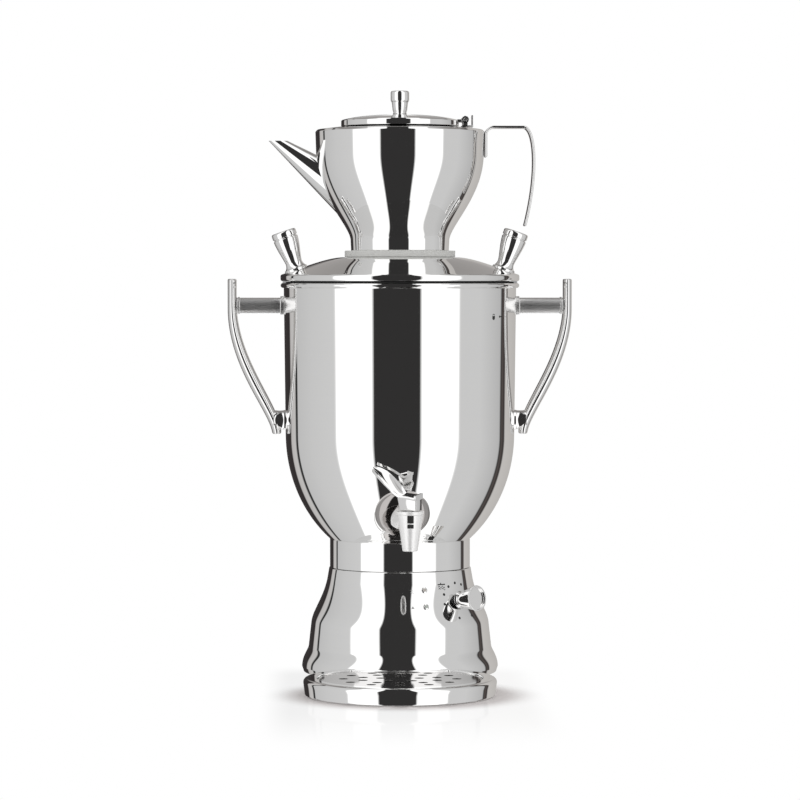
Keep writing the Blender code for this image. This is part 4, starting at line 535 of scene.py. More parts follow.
class SamovarColours(bpy.types.PropertyGroup):
    """The colours of the samovar's finishes."""

    steel: colour_setting("Polished steel", "Vessel, lid, teapot, base and tray", (0.95, 0.948, 0.943))
    chrome: colour_setting("Cast fittings", "Handles, knobs, tap and lever", (0.95, 0.945, 0.94))
    satin: colour_setting("Satin steel", "Screws, nut and plug", (0.66, 0.66, 0.655))
    aluminium: colour_setting("Aluminium", "Heating plate", (0.60, 0.61, 0.62))
    # Also the colour of the painted shade in the tray's basin
    element: colour_setting("Heating element", "Sheath of the tubular heater", (0.30, 0.29, 0.27))
    grate: colour_setting("Grate", "The perforated disc in the tray", (0.62, 0.60, 0.59))
    rosette: colour_setting("Tap rosette", "The darker cup behind the tap", (0.46, 0.44, 0.43))
    plastic: colour_setting("Black plastic", "Base plate, gland and terminal block", (0.020, 0.020, 0.020))
    rubber: colour_setting("Black rubber", "Feet and tray pads", (0.028, 0.028, 0.028))
    pale_silicone: colour_setting(
        "Pale silicone", "The teapot's ring and the tap's seals", (0.62, 0.62, 0.60))
    dark_silicone: colour_setting("Dark silicone", "The lid's gasket", (0.012, 0.012, 0.012))
    amber: colour_setting("Upper lamp", "Lens of the upper lamp, unlit", (0.56, 0.52, 0.48))
    green: colour_setting("Lower lamp", "Lens of the lower lamp, unlit", (0.46, 0.50, 0.46))
    # Also the colour of the painted reflections on the tap's barrel
    ink: colour_setting("Marks", "Dots and signs printed on the steel", (0.012, 0.012, 0.012))
    faint_ink: colour_setting("Faint marks", "Signs beside the lamps", (0.45, 0.45, 0.45))
    # Painted shadow: the colour that the floor darkens to close to the tray
    shadow: colour_setting("Contact shadow", "The floor's tone close to the tray", (0.42, 0.36, 0.35))
    floor: colour_setting("Floor", "The stage's floor", (1.0, 1.0, 1.0))


class Signal:
    """A socket of a node, with the arithmetic that shader maths needs."""

    def __init__(self, graph, socket):
        self.graph = graph
        self.socket = socket

    def math(self, operation, *values):
        return self.graph.add("ShaderNodeMath", {"operation": operation}, dict(enumerate((self,) + values)))

    def __add__(self, other):
        return self.math("ADD", other)

    def __radd__(self, other):
        return self.math("ADD", other)

    def __sub__(self, other):
        return self.math("SUBTRACT", other)

    def __rsub__(self, other):
        return self.graph.add("ShaderNodeMath", {"operation": "SUBTRACT"}, {0: other, 1: self})

    def __mul__(self, other):
        return self.math("MULTIPLY", other)

    def __rmul__(self, other):
        return self.math("MULTIPLY", other)

    def __truediv__(self, other):
        return self.math("DIVIDE", other)

    def __abs__(self):
        return self.math("ABSOLUTE")

    def below(self, limit):
        return self.math("LESS_THAN", limit)


class Graph:
    """The nodes of one material or of the world."""

    def __init__(self, tree):
        self.tree = tree
        self.tree.nodes.clear()

    def add(self, kind, settings=None, inputs=None, output=0):
        """Add a node: its settings first, then the values or links of its sockets. Gives one output."""
        node = self.tree.nodes.new(kind)
        for name, value in (settings or {}).items():
            if name == "stops":
                self.set_stops(node.color_ramp, value)
            else:
                setattr(node, name, value)
        for name, value in (inputs or {}).items():
            self.put(node.inputs[name], value)
        return Signal(self, node.outputs[output]) if len(node.outputs) else None

    def put(self, socket, value):
        """Link a signal to a socket, or set its value."""
        if isinstance(value, Signal):
            self.tree.links.new(value.socket, socket)
        else:
            socket.default_value = value

    def set_stops(self, ramp, stops):
        """Give a colour ramp its stops, each a place and a grey value or a colour."""
        while len(ramp.elements) < len(stops):
            ramp.elements.new(0.5)
        for element, (place, value) in zip(ramp.elements, sorted(stops, key=lambda stop: stop[0])):
            element.position = place
            element.color = (value, value, value, 1) if isinstance(value, float) else (*value, 1)

    def output_of(self, signal, name):
        """Another output of the node that a signal comes from."""
        return Signal(self, signal.socket.node.outputs[name])

    def noise(self, vector, scale, detail):
        """Noise between 0 and 1 at a scale."""
        return self.add("ShaderNodeTexNoise", None, {"Vector": vector, "Scale": scale, "Detail": detail})

    def stretched(self, vector, scale):
        """Coordinates scaled along each axis."""
        return self.add("ShaderNodeMapping", None, {"Vector": vector, "Scale": scale})

    def spread(self, signal, low, high):
        """A signal of 0 to 1 spread from low to high."""
        return self.add("ShaderNodeMapRange", None, {"Value": signal, "To Min": low, "To Max": high})

    def eased(self, signal, start, end, first=0.0, last=1.0):
        """A signal eased from one value at its start to another at its end."""
        return self.add("ShaderNodeMapRange", {"interpolation_type": "SMOOTHSTEP"}, {
            "Value": signal, "From Min": start, "From Max": end, "To Min": first, "To Max": last})

    def blend(self, factor, first, second):
        """A colour between two."""
        return self.add("ShaderNodeMix", {"data_type": "RGBA"}, {0: factor, 6: first, 7: second}, 2)

    def tinted(self, colour, signal):
        """A colour made lighter or darker by a signal."""
        return self.add("ShaderNodeVectorMath", {"operation": "SCALE"}, {0: colour, "Scale": signal})

    def bump(self, height, distance):
        """A surface raised by a height signal."""
        return self.add("ShaderNodeBump", None, {"Height": height, "Distance": distance, "Strength": 1.0})


def steel_values(graph, place, colour, roughness, lines, waves):
    """Metal with faint turning lines, a slightly uneven polish and a barely wavy surface."""
    turning = graph.noise(graph.stretched(place, TURNING_LINES), 1.0, NOISE_DETAIL)
    patches = graph.noise(place, PATCH_SCALE, NOISE_DETAIL)
    swell = graph.noise(place, WAVE_SCALE, 1.0)
    shade = graph.spread(turning * 0.6 + patches * 0.4, 1.0 - lines, 1.0)
    gloss = graph.spread(turning * 0.5 + patches * 0.5, *(roughness * share for share in STEEL_GLOSS))
    return {
        "Base Color": graph.tinted(colour, shade),
        "Metallic": 1.0,
        "Roughness": gloss,
        "Normal": graph.bump(swell, waves),
    }


def grainy_values(graph, place, colour, roughness, grain, depth):
    """A moulded material: even colour with fine speckle and a fine grain."""
    speckle = graph.noise(place, grain, NOISE_DETAIL)
    cloud = graph.noise(place, grain * CLOUD_SCALE, 2.0)
    return {
        "Base Color": graph.tinted(colour, graph.spread(speckle * 0.5 + cloud * 0.5, *SPECKLE_TONES)),
        "Roughness": graph.spread(cloud, *(roughness * share for share in CLOUD_GLOSS)),
        "Normal": graph.bump(speckle, depth),
    }


def dull_basin_with_painted_shade(graph, place, values, colours):
    """Make a steel dull down in the tray's basin, and paint shade there: its colour turns to the heating
    element's dark grey.
    """
    side = graph.add("ShaderNodeSeparateXYZ", None, {"Vector": place})
    along = graph.output_of(side, "Y") + TRAY_CENTRE
    reach = (side * side + along * along).math("SQRT")
    down = graph.output_of(side, "Z").below(TRAY_HEIGHT - GRATE_DEPTH - SEATED * 2)
    inside = reach.below(TRAY_LEDGE_RADIUS + SHEET) * down
    # Painted shade: the basin under the grate takes a dark grey colour instead of steel
    values["Base Color"] = graph.blend(inside, (*colours.steel, 1), (*colours.element, 1))
    values["Roughness"] = graph.spread(inside, METALS["tray_steel"][1], BASIN_ROUGHNESS)


def finish(name):
    """The material for a record's slot or for marks, made the first time that it is asked for."""
    material = bpy.data.materials.get("finish_" + name)
    if material is not None:
        return material
    material = bpy.data.materials.new("finish_" + name)
    material.use_nodes = True
    graph = Graph(material.node_tree)
    place = graph.add("ShaderNodeTexCoord", None, None, "Object")
    colours = bpy.context.scene.samovar_colours
    make = steel_values if name in METALS else grainy_values
    colour_name, *amounts = METALS.get(name) or MOULDED[name]
    values = make(graph, place, getattr(colours, colour_name), *amounts)
    if name == "barrel_chrome":
        values["Metallic"] = BARREL_METALLIC
    if name == "tray_steel":
        dull_basin_with_painted_shade(graph, place, values, colours)
    shader = graph.add("ShaderNodeBsdfPrincipled", None, values)
    graph.add("ShaderNodeOutputMaterial", None, {"Surface": shader})
    return material


def dress(thing, body, finish_name, *nodes, slot=None):
    """Give a finished piece its material, its body and the CAD nodes that it stands for."""
    thing.data.materials.clear()
    thing.data.materials.append(finish(finish_name))
    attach(thing, body)
    if nodes:
        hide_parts(*nodes)
    return thing


def bezier(start, first, second, end, steps):
    """Points along a cubic curve, without its start."""
    points = []
    for step in range(1, steps + 1):
        t = step / steps
        s = 1 - t
        weights = (s ** 3, 3 * s * s * t, 3 * s * t * t, t ** 3)
        corners = (start, first, second, end)
        points.append(tuple(sum(w * p[axis] for w, p in zip(weights, corners)) for axis in (0, 1)))
    return points


def curved(start, end, handle_shares, steps):
    """A cubic curve whose handles are shares of its span, without its start."""
    first, second = (tuple(a + (b - a) * share for a, b, share in zip(start, end, shares))
                     for shares in handle_shares)
    return bezier(start, first, second, end, steps)


def straight(start, end, steps):
    """Points along a straight line, both ends included."""
    return [tuple(a + (b - a) * step / steps for a, b in zip(start, end)) for step in range(steps + 1)]


def arc(centre, radius, first_angle, last_angle, steps):
    """Points on an arc, both ends included; angles in degrees."""
    points = []
    for step in range(steps + 1):
        angle = math.radians(first_angle + (last_angle - first_angle) * step / steps)
        points.append((centre[0] + radius * math.cos(angle), centre[1] + radius * math.sin(angle)))
    return points


def rounded(points, radius, loop=False):
    """An outline with its corners rounded, and a straight run kept beside each for clean shading.
    A point may carry a radius of its own as a third value."""
    result = []
    for index, point in enumerate(points):
        here = Vector(point[:2])
        own = point[2] if len(point) > 2 else radius
        if not loop and index in (0, len(points) - 1):
            result.append(tuple(here))
            continue
        before = Vector(points[index - 1][:2]) - here
        after = Vector(points[(index + 1) % len(points)][:2]) - here
        turn = math.pi - before.angle(after)
        if turn < CORNER_ANGLE:
            result.append(tuple(here))
            continue
        run = min(own * math.tan(turn / 2), before.length * CORNER_RUN_SHARE,
                  after.length * CORNER_RUN_SHARE)
        real = run / math.tan(turn / 2)
        back = before.normalized()
        on = after.normalized()
        middle = here + (back + on).normalized() * (real / math.cos(turn / 2))
        first = here + back * run - middle
        sign = 1 if first.cross(here + on * run - middle) > 0 else -1
        room = min(run * SUPPORT_SHARE, (before.length - run) * CORNER_RUN_SHARE)
        result.append(tuple(here + back * (run + room)))
        for step in range(CORNER_STEPS + 1):
            angle = sign * turn * step / CORNER_STEPS
            spoke = Vector((first.x * math.cos(angle) - first.y * math.sin(angle),
                            first.x * math.sin(angle) + first.y * math.cos(angle)))
            result.append(tuple(middle + spoke))
        room = min(run * SUPPORT_SHARE, (after.length - run) * CORNER_RUN_SHARE)
        result.append(tuple(here + on * (run + room)))
    return result


def facing(place, direction):
    """A frame at a place whose Z axis points in a direction."""
    turn = Vector(direction).to_track_quat("Z", "Y").to_matrix().to_4x4()
    return Matrix.Translation(place) @ turn


def around(azimuth, radius, height, tilt=0.0):
    """A frame at an angle from the front towards +X, with its Z axis outwards, tilted up."""
    place = (radius * math.sin(azimuth), -radius * math.cos(azimuth), height)
    level = math.cos(tilt)
    return facing(place, (level * math.sin(azimuth), -level * math.cos(azimuth), math.sin(tilt)))


def ring_places(count, radius, height=0.0, first=0.0):
    """Places spread evenly round a circle about the Z axis."""
    angles = (first + 2 * math.pi * index / count for index in range(count))
    return [Matrix.Translation((radius * math.cos(angle), radius * math.sin(angle), height))
            for angle in angles]


def on_side(outline, height):
    """The radius of a side outline at a height, and how far its surface faces upwards."""
    for (radius, z), (next_radius, next_z) in zip(outline, outline[1:]):
        if next_z <= height <= z and z > next_z:
            share = (z - height) / (z - next_z)
            return radius + share * (next_radius - radius), math.atan2(next_radius - radius, z - next_z)
    raise ValueError("no side at this height")


def on_top(outline, reach):
    """The height of a top outline at a radius, and how far its surface leans outwards."""
    for (radius, z), (next_radius, next_z) in zip(outline, outline[1:]):
        if radius <= reach <= next_radius and next_radius > radius:
            share = (reach - radius) / (next_radius - radius)
            return z + share * (next_z - z), math.atan2(z - next_z, next_radius - radius)
    raise ValueError("no top at this radius")


def begin(name, place):
    """A new object in edit mode that holds one vertex, at a place."""
    bpy.ops.object.select_all(action="DESELECT")
    bpy.ops.mesh.primitive_plane_add(size=SEED)
    thing = bpy.context.object
    thing.name = name
    thing.data.name = name
    bpy.ops.object.mode_set(mode="EDIT")
    bpy.ops.mesh.select_all(action="SELECT")
    bpy.ops.mesh.merge(type="CENTER")
    bpy.ops.transform.translate(value=place)
    return thing


def trace(points):
    """Extrude the selected vertex from the first point through the others."""
    for here, there in zip(points, points[1:]):
        step = [b - a for a, b in zip(here, there)]
        bpy.ops.mesh.extrude_region_move(TRANSFORM_OT_translate={"value": step})


def weld():
    """Merge what coincides in the mesh being edited and turn its faces outwards."""
    bpy.ops.mesh.select_all(action="SELECT")
    bpy.ops.mesh.remove_doubles(threshold=WELD)
    bpy.ops.mesh.normals_make_consistent(inside=False)


def only(thing):
    """Make a thing the only one selected, and active."""
    bpy.ops.object.select_all(action="DESELECT")
    thing.select_set(True)
    bpy.context.view_layer.objects.active = thing


def settle(thing, place=None):
    """Leave edit mode, shade smooth but for sharp edges, and apply the place to the mesh."""
    bpy.ops.object.mode_set(mode="OBJECT")
    only(thing)
    bpy.ops.object.shade_smooth_by_angle(angle=SMOOTH_ANGLE)
    if place is not None:
        thing.matrix_world = place
    bpy.ops.object.transform_apply(location=True, rotation=True, scale=True)
    return thing


def turned(name, outline, steps, place=None):
    """A turned solid from an outline of (radius, height). It is closed by the axis where it starts
    and ends there, and otherwise by its own last edge."""
    points = [(radius, 0, height) for radius, height in outline]
    if outline[0][0] > 0 or outline[-1][0] > 0:
        points.append(points[0])
    thing = begin(name, points[0])
    trace(points)
    bpy.ops.mesh.select_all(action="SELECT")
    bpy.ops.mesh.remove_doubles(threshold=WELD)
    bpy.ops.mesh.spin(steps=steps, angle=2 * math.pi, center=(0, 0, 0), axis=(0, 0, 1))
    weld()
    return settle(thing, place)


def loft(name, loops, place=None):
    """A closed solid drawn through loops of equally many points, its first and last loop filled."""
    thing = begin(name, loops[0][0])
    trace(list(loops[0]) + [loops[0][0]])
    bpy.ops.mesh.select_all(action="SELECT")
    bpy.ops.mesh.remove_doubles(threshold=WELD)
    for before, after in zip(loops, loops[1:]):
        bpy.ops.mesh.extrude_region()
        shape = bmesh.from_edit_mesh(thing.data)
        moving = [vertex for vertex in shape.verts if vertex.select]
        for vertex in moving:
            nearest = min(range(len(before)), key=lambda i: (Vector(before[i]) - vertex.co).length_squared)
            vertex.co = after[nearest]
        bmesh.update_edit_mesh(thing.data)
    bpy.ops.mesh.select_all(action="SELECT")
    bpy.ops.mesh.fill_holes(sides=0)
    weld()
    return settle(thing, place)


def rounded_rectangle(width, height, radius):
    """Points round a rectangle with rounded corners."""
    points = []
    for quarter, (across, up) in enumerate(((1, 1), (-1, 1), (-1, -1), (1, -1))):
        centre = (across * (width / 2 - radius), up * (height / 2 - radius))
        points += arc(centre, radius, quarter * 90, quarter * 90 + 90, BAR_STEPS)
    return points


def oval(width, height, count):
    """Points round an oval."""
    angles = (2 * math.pi * index / count for index in range(count))
    return [(width / 2 * math.cos(angle), height / 2 * math.sin(angle)) for angle in angles]


def bar(name, path, width, radius, section):
    """A bar along a path in the XZ plane that carries its thickness, with softened ends. The section
    gives the points of its outline for a width and a thickness."""
    spots = [Vector(point[:2]) for point in path]
    stations = []
    for end, inner in ((0, 1), (-1, -2)):
        along = (spots[inner] - spots[end]).normalized()
        stops = []
        for step in range(BAR_STEPS + 1):
            angle = math.pi / 2 * step / BAR_STEPS
            stops.append((spots[end] + along * radius * (1 - math.cos(angle)),
                          radius * (1 - math.sin(angle)), path[end][2]))
        stations.append(stops)
    middle = [(spot, 0.0, point[2]) for spot, point in zip(spots, path)
              if min((spot - spots[0]).length, (spot - spots[-1]).length) > radius * BAR_END_CLEARANCE]
    line = stations[0] + middle + stations[1][::-1]
    loops = []
    for index, (centre, inset, thickness) in enumerate(line):
        before = line[max(index - 1, 0)][0]
        after = line[min(index + 1, len(line) - 1)][0]
        along = (after - before).normalized()
        loops.append([(centre.x - along.y * out, across, centre.y + along.x * out)
                      for across, out in section(width, thickness, inset)])
    return loft(name, loops)


def block(name, low, high, radius, place=None):
    """A box between two corners of its frame, with rounded edges."""
    middle = [(a + b) / 2 for a, b in zip(low, high)]
    bpy.ops.object.select_all(action="DESELECT")
    bpy.ops.mesh.primitive_cube_add(size=1, location=middle)
    thing = bpy.context.object
    thing.name = name
    thing.scale = [b - a for a, b in zip(low, high)]
    bpy.ops.object.transform_apply(location=True, rotation=True, scale=True)
    bpy.ops.object.mode_set(mode="EDIT")
    bpy.ops.mesh.select_all(action="SELECT")
    bpy.ops.mesh.bevel(offset=radius, segments=EDGE_SEGMENTS, affect="EDGES")
    return settle(thing, place)


def soften(thing, width, segments, angle):
    """Round the edges of a thing that are sharper than an angle."""
    only(thing)
    bevel = thing.modifiers.new("round", "BEVEL")
    bevel.width = width
    bevel.segments = segments
    bevel.limit_method = "ANGLE"
    bevel.angle_limit = angle
    bpy.ops.object.modifier_apply(modifier=bevel.name)


def slab(name, outline, width, radius, place=None):
    """A flat outline in its frame's XZ plane, drawn out along Y to its width, with rounded edges."""
    points = [(across, -width / 2, up) for across, up in outline]
    thing = begin(name, points[0])
    trace(points + [points[0]])
    weld()
    bpy.ops.mesh.edge_face_add()
    bpy.ops.mesh.extrude_region_move(TRANSFORM_OT_translate={"value": (0, width, 0)})
    weld()
    bpy.ops.object.mode_set(mode="OBJECT")
    if radius > 0:
        soften(thing, radius, EDGE_SEGMENTS, SMOOTH_ANGLE)
    bpy.ops.object.mode_set(mode="EDIT")
    return settle(thing, place)


def rod(name, radius, low, high, steps, place=None):
    """A short round peg, for cutting holes."""
    return turned(name, [(0, low), (radius, low), (radius, high), (0, high)], steps, place)


def combine(thing, others, operation):
    """Cut, join or intersect a thing with others, which are then removed."""
    only(thing)
    for other in others:
        modifier = thing.modifiers.new("shape", "BOOLEAN")
        modifier.operation = operation
        modifier.solver = "EXACT"
        modifier.object = other
        bpy.ops.object.modifier_apply(modifier=modifier.name)
        bpy.data.objects.remove(other)
    bpy.ops.object.shade_smooth_by_angle(angle=SMOOTH_ANGLE)
    return thing


def joined(*things):
    """Several meshes as one object, the first."""
    bpy.ops.object.select_all(action="DESELECT")
    for thing in things:
        thing.select_set(True)
    bpy.context.view_layer.objects.active = things[0]
    bpy.ops.object.join()
    return things[0]


def housing_side(inset, steps):
    """The base's side from its top edge down, drawn inwards by an inset."""
    neck = (HOUSING_NECK_RADIUS - inset, HOUSING_NECK_HEIGHT)
    belly = (HOUSING_BELLY_RADIUS - inset, HOUSING_BELLY_HEIGHT)
    crease = (HOUSING_CREASE_RADIUS - inset, HOUSING_CREASE_HEIGHT)
    flare = (HOUSING_FLARE_RADIUS - inset, HOUSING_FLARE_HEIGHT)
    side = [(HOUSING_TOP_RADIUS - inset, HOUSING_TOP_HEIGHT - inset), neck]
    side += curved(neck, belly, SHOULDER_SHARES, steps)
    side += [crease]
    side += curved(crease, flare, FLARE_SHARES, steps // 2)
    side += [(HOUSING_EDGE_RADIUS - inset, FOOT_HEIGHT + SEAT_GAP)]
    return side


def bowl_height(radius):
    """The height of the bowl's outer surface at a radius."""
    share = radius / VESSEL_SHOULDER_RADIUS
    return VESSEL_SHOULDER_HEIGHT - BOWL_DEPTH * math.sqrt(1 - share * share)


def vessel_side(inset=0.0, steps=BOWL_STEPS):
    """The vessel's side from under its rim down to its floor, drawn inwards by an inset."""
    radius = VESSEL_SHOULDER_RADIUS - inset
    depth = BOWL_DEPTH - inset
    last = math.acos((VESSEL_FLOOR_RADIUS - inset / 2) / radius)
    side = [(VESSEL_TOP_RADIUS - inset, RIM_BEAD_HEIGHT - RIM_BEAD_RADIUS)]
    for step in range(steps + 1):
        angle = last * step / steps
        side.append((radius * math.cos(angle), VESSEL_SHOULDER_HEIGHT - depth * math.sin(angle)))
    return side


def vessel_plug(inset, steps):
    """A solid that fills the vessel's outer side, drawn inwards by an inset, for cutting."""
    side = vessel_side(inset)
    return turned("vessel_plug", [(0, side[0][1])] + side + [(0, side[-1][1])], steps)


def lug(inner, outer, low, turn):
    """One bayonet lug, a short block in the wall."""
    return block("lug", (inner, -LUG_WIDTH / 2, low), (outer, LUG_WIDTH / 2, low + LUG_THICKNESS), SEAT_GAP,
                 Matrix.Rotation(turn, 4, "Z"))


def lug_turns(first):
    """The angles of the bayonet's lugs."""
    return [2 * math.pi * index / LUG_COUNT + LUG_START + first for index in range(LUG_COUNT)]


def handle_path(side):
    """The middle line of a carrying handle's bar and its thickness, which swells below the knee."""
    top = (HANDLE_REACH, HANDLE_TOP_HEIGHT)
    knee = (HANDLE_REACH, HANDLE_ARM_HEIGHT)
    end = (HANDLE_END_REACH, HANDLE_END_HEIGHT)
    path = [(side * across, up, HANDLE_THICKNESS)
            for across, up in straight(top, knee, HANDLE_STRAIGHT_STEPS)]
    for index, (across, up) in enumerate(curved(knee, end, HANDLE_SHARES, HANDLE_STEPS)):
        swell = HANDLE_SWELL * math.sin(math.pi * (index + 1) / HANDLE_STEPS)
        across = min(across, HANDLE_REACH - HANDLE_THICKNESS * swell / 2)
        path.append((side * across, up, HANDLE_THICKNESS * (1 + swell)))
    return path


def dial_frame():
    """The dial's axis, where it leaves the housing."""
    radius, _ = on_side(housing_side(0.0, HOUSING_CAD_STEPS), DIAL_HEIGHT)
    return around(DIAL_AZIMUTH, radius, DIAL_HEIGHT, DIAL_TILT)


def tap_frame():
    """The tap's level axis where it leaves the bowl, turned a little to one side."""
    radius, _ = on_side(vessel_side(0.0, VESSEL_CAD_STEPS), TAP_HEIGHT)
    out = Vector((math.sin(TAP_TURN), -math.cos(TAP_TURN), 0))
    return facing((0, -radius, TAP_HEIGHT), out)


def barrel_frame():
    """The tap barrel's upright axis, with heights measured from the soles."""
    place = tap_frame() @ Vector((0, 0, TAP_ARM))
    return Matrix.Translation((place.x, place.y, 0))


def barrel_radius(height):
    """The radius of the barrel's tapering side at a height."""
    top = BARREL_TOP_HEIGHT - BARREL_COLLAR_HEIGHT - BARREL_COLLAR_STEP
    share = (top - height) / (top - BARREL_BOTTOM_HEIGHT)
    return BARREL_RADIUS - BARREL_COLLAR_STEP + share * (
        BARREL_NOZZLE_RADIUS - BARREL_RADIUS + BARREL_COLLAR_STEP)


def lever_frame():
    """The lever's upright axis at its lower face, with X towards the lever's tip."""
    height = BARREL_TOP_HEIGHT + SEAT_GAP
    return barrel_frame() @ Matrix.Translation((0, 0, height)) @ Matrix.Rotation(LEVER_REST_ANGLE, 4, "Z")


def lid_top(steps):
    """The lid's dome from its crown outwards."""
    crown = (LID_CROWN_RADIUS, LID_CROWN_HEIGHT)
    return [crown] + curved(crown, (LID_DOME_RADIUS, LID_DOME_HEIGHT), LID_DOME_SHARES, steps)


def gasket_top():
    """The height of the gasket's upper face."""
    return RIM_BEAD_HEIGHT + RIM_BEAD_RADIUS + SEAT_GAP + GASKET_THICKNESS


def teapot_side(inset, steps):
    """The teapot's side from its rim down to its foot, drawn inwards by an inset."""
    belly = (TEAPOT_BELLY_RADIUS - inset, TEAPOT_BELLY_HEIGHT)
    waist = (TEAPOT_WAIST_RADIUS - inset, TEAPOT_WAIST_HEIGHT)
    return [(TEAPOT_RIM_RADIUS - inset, TEAPOT_RIM_HEIGHT - inset), belly] + curved(
        belly, waist, TEAPOT_SHARES, steps)


def hinge_frame():
    """The hinge pin's axis: Z along the pin, through the middle of the hinge."""
    return facing((HINGE_REACH, 0, HINGE_HEIGHT), (0, 1, 0))


def tray_loop(radius, back, height, back_height):
    """The tray's plan: most of a circle, hollowed where it meets the round base. Its points lie at one
    height round the front and at another along the back."""
    reach = (back * back - radius * radius + TRAY_CENTRE * TRAY_CENTRE) / (2 * TRAY_CENTRE)
    half = math.sqrt(back * back - reach * reach)
    corner = math.degrees(math.atan2(TRAY_CENTRE - reach, half))
    open_half = math.degrees(math.atan2(half, reach))
    plan = arc((0, -TRAY_CENTRE), radius, corner, corner - 360 + (180 - 2 * corner), TRAY_ARC_STEPS)
    plan += arc((0, 0), back, 270 - open_half, 270 + open_half, TRAY_BACK_STEPS)[1:-1]
    loop = []
    for across, along in rounded(plan, TRAY_CORNER_ROUND, loop=True):
        share = min(1.0, max(0.0, (math.hypot(across, along) - back) / TRAY_RIM_BLEND))
        loop.append((across, along, back_height + (height - back_height) * share))
    return loop


class SAMOVAR_OT_stage(bpy.types.Operator):
    """Set up the floor, the studio around it and the camera"""

    bl_idname = "samovar.stage"
    bl_label = "Stage"

    def execute(self, context):
        scene = context.scene
        scene.view_settings.view_transform = "Standard"
        self.make_studio(scene)
        self.make_floor(scene)
        camera = bpy.data.cameras.new("camera")
        camera.lens = CAMERA_LENS
        camera.sensor_width = CAMERA_SENSOR
        camera.clip_end = FLOOR_SIZE
        viewer = bpy.data.objects.new("camera", camera)
        viewer.location = CAMERA_PLACE
        viewer.rotation_euler = (CAMERA_PITCH, 0, CAMERA_YAW)
        scene.collection.objects.link(viewer)
        scene.camera = viewer
        return {"FINISHED"}

    def make_studio(self, scene):
        """White to the camera and to matt surfaces; polished steel sees soft boxes round a dark front.
        The boxes are ordered by the direction halfway to the lens, so they run down round sides."""
        world = bpy.data.worlds.new("studio")
        scene.world = world
        world.use_nodes = True
        graph = Graph(world.node_tree)
        direction = graph.add("ShaderNodeTexCoord", None, None, "Generated")
        turned_direction = graph.add("ShaderNodeVectorRotate", {"rotation_type": "Z_AXIS"},
                                     {"Vector": direction, "Angle": -CAMERA_YAW})
        side = graph.add("ShaderNodeSeparateXYZ", None, {"Vector": turned_direction})
        depth = graph.output_of(side, "Y")
        rise = graph.output_of(side, "Z")
        above = rise.math("MAXIMUM", 0.0)
        below = rise.math("MINIMUM", 0.0)
        narrowing = above * above * STUDIO_NARROWING + below * below * STUDIO_NARROWING_BELOW + 1.0
        halfway = side.math("ARCTAN2", 1.0 - depth) * 2.0 + STUDIO_TURN
        angle = halfway * narrowing / (2 * math.pi) + 0.5
        stops = [((degrees + 180) / 360, value) for degrees, value in STUDIO_WALLS]
        walls = graph.add("ShaderNodeValToRGB", {"stops": stops}, {"Fac": angle})
        overhead = graph.eased(rise, *CEILING_RISE)
        behind = graph.eased(depth, *CEILING_DEPTH)
        level = graph.eased(rise - abs(side) * CEILING_SLOPE, 0.0, CEILING_EDGE)
        ceiling = graph.tinted(CEILING_TINT, graph.spread(rise, *CEILING_TONES))
        seen_by_steel = graph.tinted(graph.blend(overhead * behind * level, walls, ceiling), STUDIO_LEVEL)
        path = graph.add("ShaderNodeLightPath", None, None, "Is Camera Ray")
        mirrored = graph.output_of(path, "Is Glossy Ray").math(
            "MAXIMUM", graph.output_of(path, "Is Transmission Ray"))
        colour = graph.blend(mirrored * (1.0 - path), (1, 1, 1, 1), seen_by_steel)
        light = graph.add("ShaderNodeBackground", None, {"Color": colour, "Strength": 1.0})
        graph.add("ShaderNodeOutputWorld", None, {"Surface": light})

    def make_floor(self, scene):
        """A wide white floor with a soft cast shadow, deepened by painted shadow close to the tray, and a
        faint mirror image round it.
        """
        colours = scene.samovar_colours
        bpy.ops.object.select_all(action="DESELECT")
        bpy.ops.mesh.primitive_plane_add(size=FLOOR_SIZE)
        floor = bpy.context.object
        floor.name = "floor"
        floor.visible_glossy = False
        material = bpy.data.materials.new("floor")
        material.use_nodes = True
        graph = Graph(material.node_tree)
        place = graph.add("ShaderNodeTexCoord", None, None, "Object")
        side = graph.add("ShaderNodeSeparateXYZ", None, {"Vector": place})
        depth = graph.output_of(side, "Y")
        along = depth + SHADOW_CENTRE
        reach = (side * side + along * along).math("SQRT")
        near = graph.eased(reach, SHADOW_START, SHADOW_END, 1.0, 0.0)
        # Painted shadow: close to the tray the floor's own colour is darkened, on top of the shadow that is
        # cast there
        shade = graph.eased(reach, SHADOW_START, SHADOW_END, PAINTED_SHADOW_DEPTH, 0.0)
        painted_shadow_tint = graph.blend(shade, (*colours.floor, 1), (*colours.shadow, 1))
        matt = graph.add("ShaderNodeBsdfDiffuse", None, {"Color": painted_shadow_tint})
        bright = graph.add("ShaderNodeEmission", None, {"Color": (*colours.floor, 1)})
        ground = graph.add("ShaderNodeMixShader", None, {0: near, 1: bright, 2: matt})
        gloss = graph.add("ShaderNodeBsdfAnisotropic", None, {
            "Color": GLOSS_TINT, "Roughness": GLOSS_ROUGHNESS})
        in_front = graph.eased(depth, -SHEEN_END, -SHEEN_START, 0.0, SHEEN)
        centred = graph.eased(abs(side), SHEEN_HALF_WIDTH, SHADOW_END, 1.0, 0.0)
        ahead = graph.eased(depth, 0.0, SHADOW_START, 1.0, 0.0)
        mirrored = in_front * centred * ahead
        mixed = graph.add("ShaderNodeMixShader", None, {0: mirrored, 1: ground, 2: gloss})
        graph.add("ShaderNodeOutputMaterial", None, {"Surface": mixed})
        floor.data.materials.append(material)


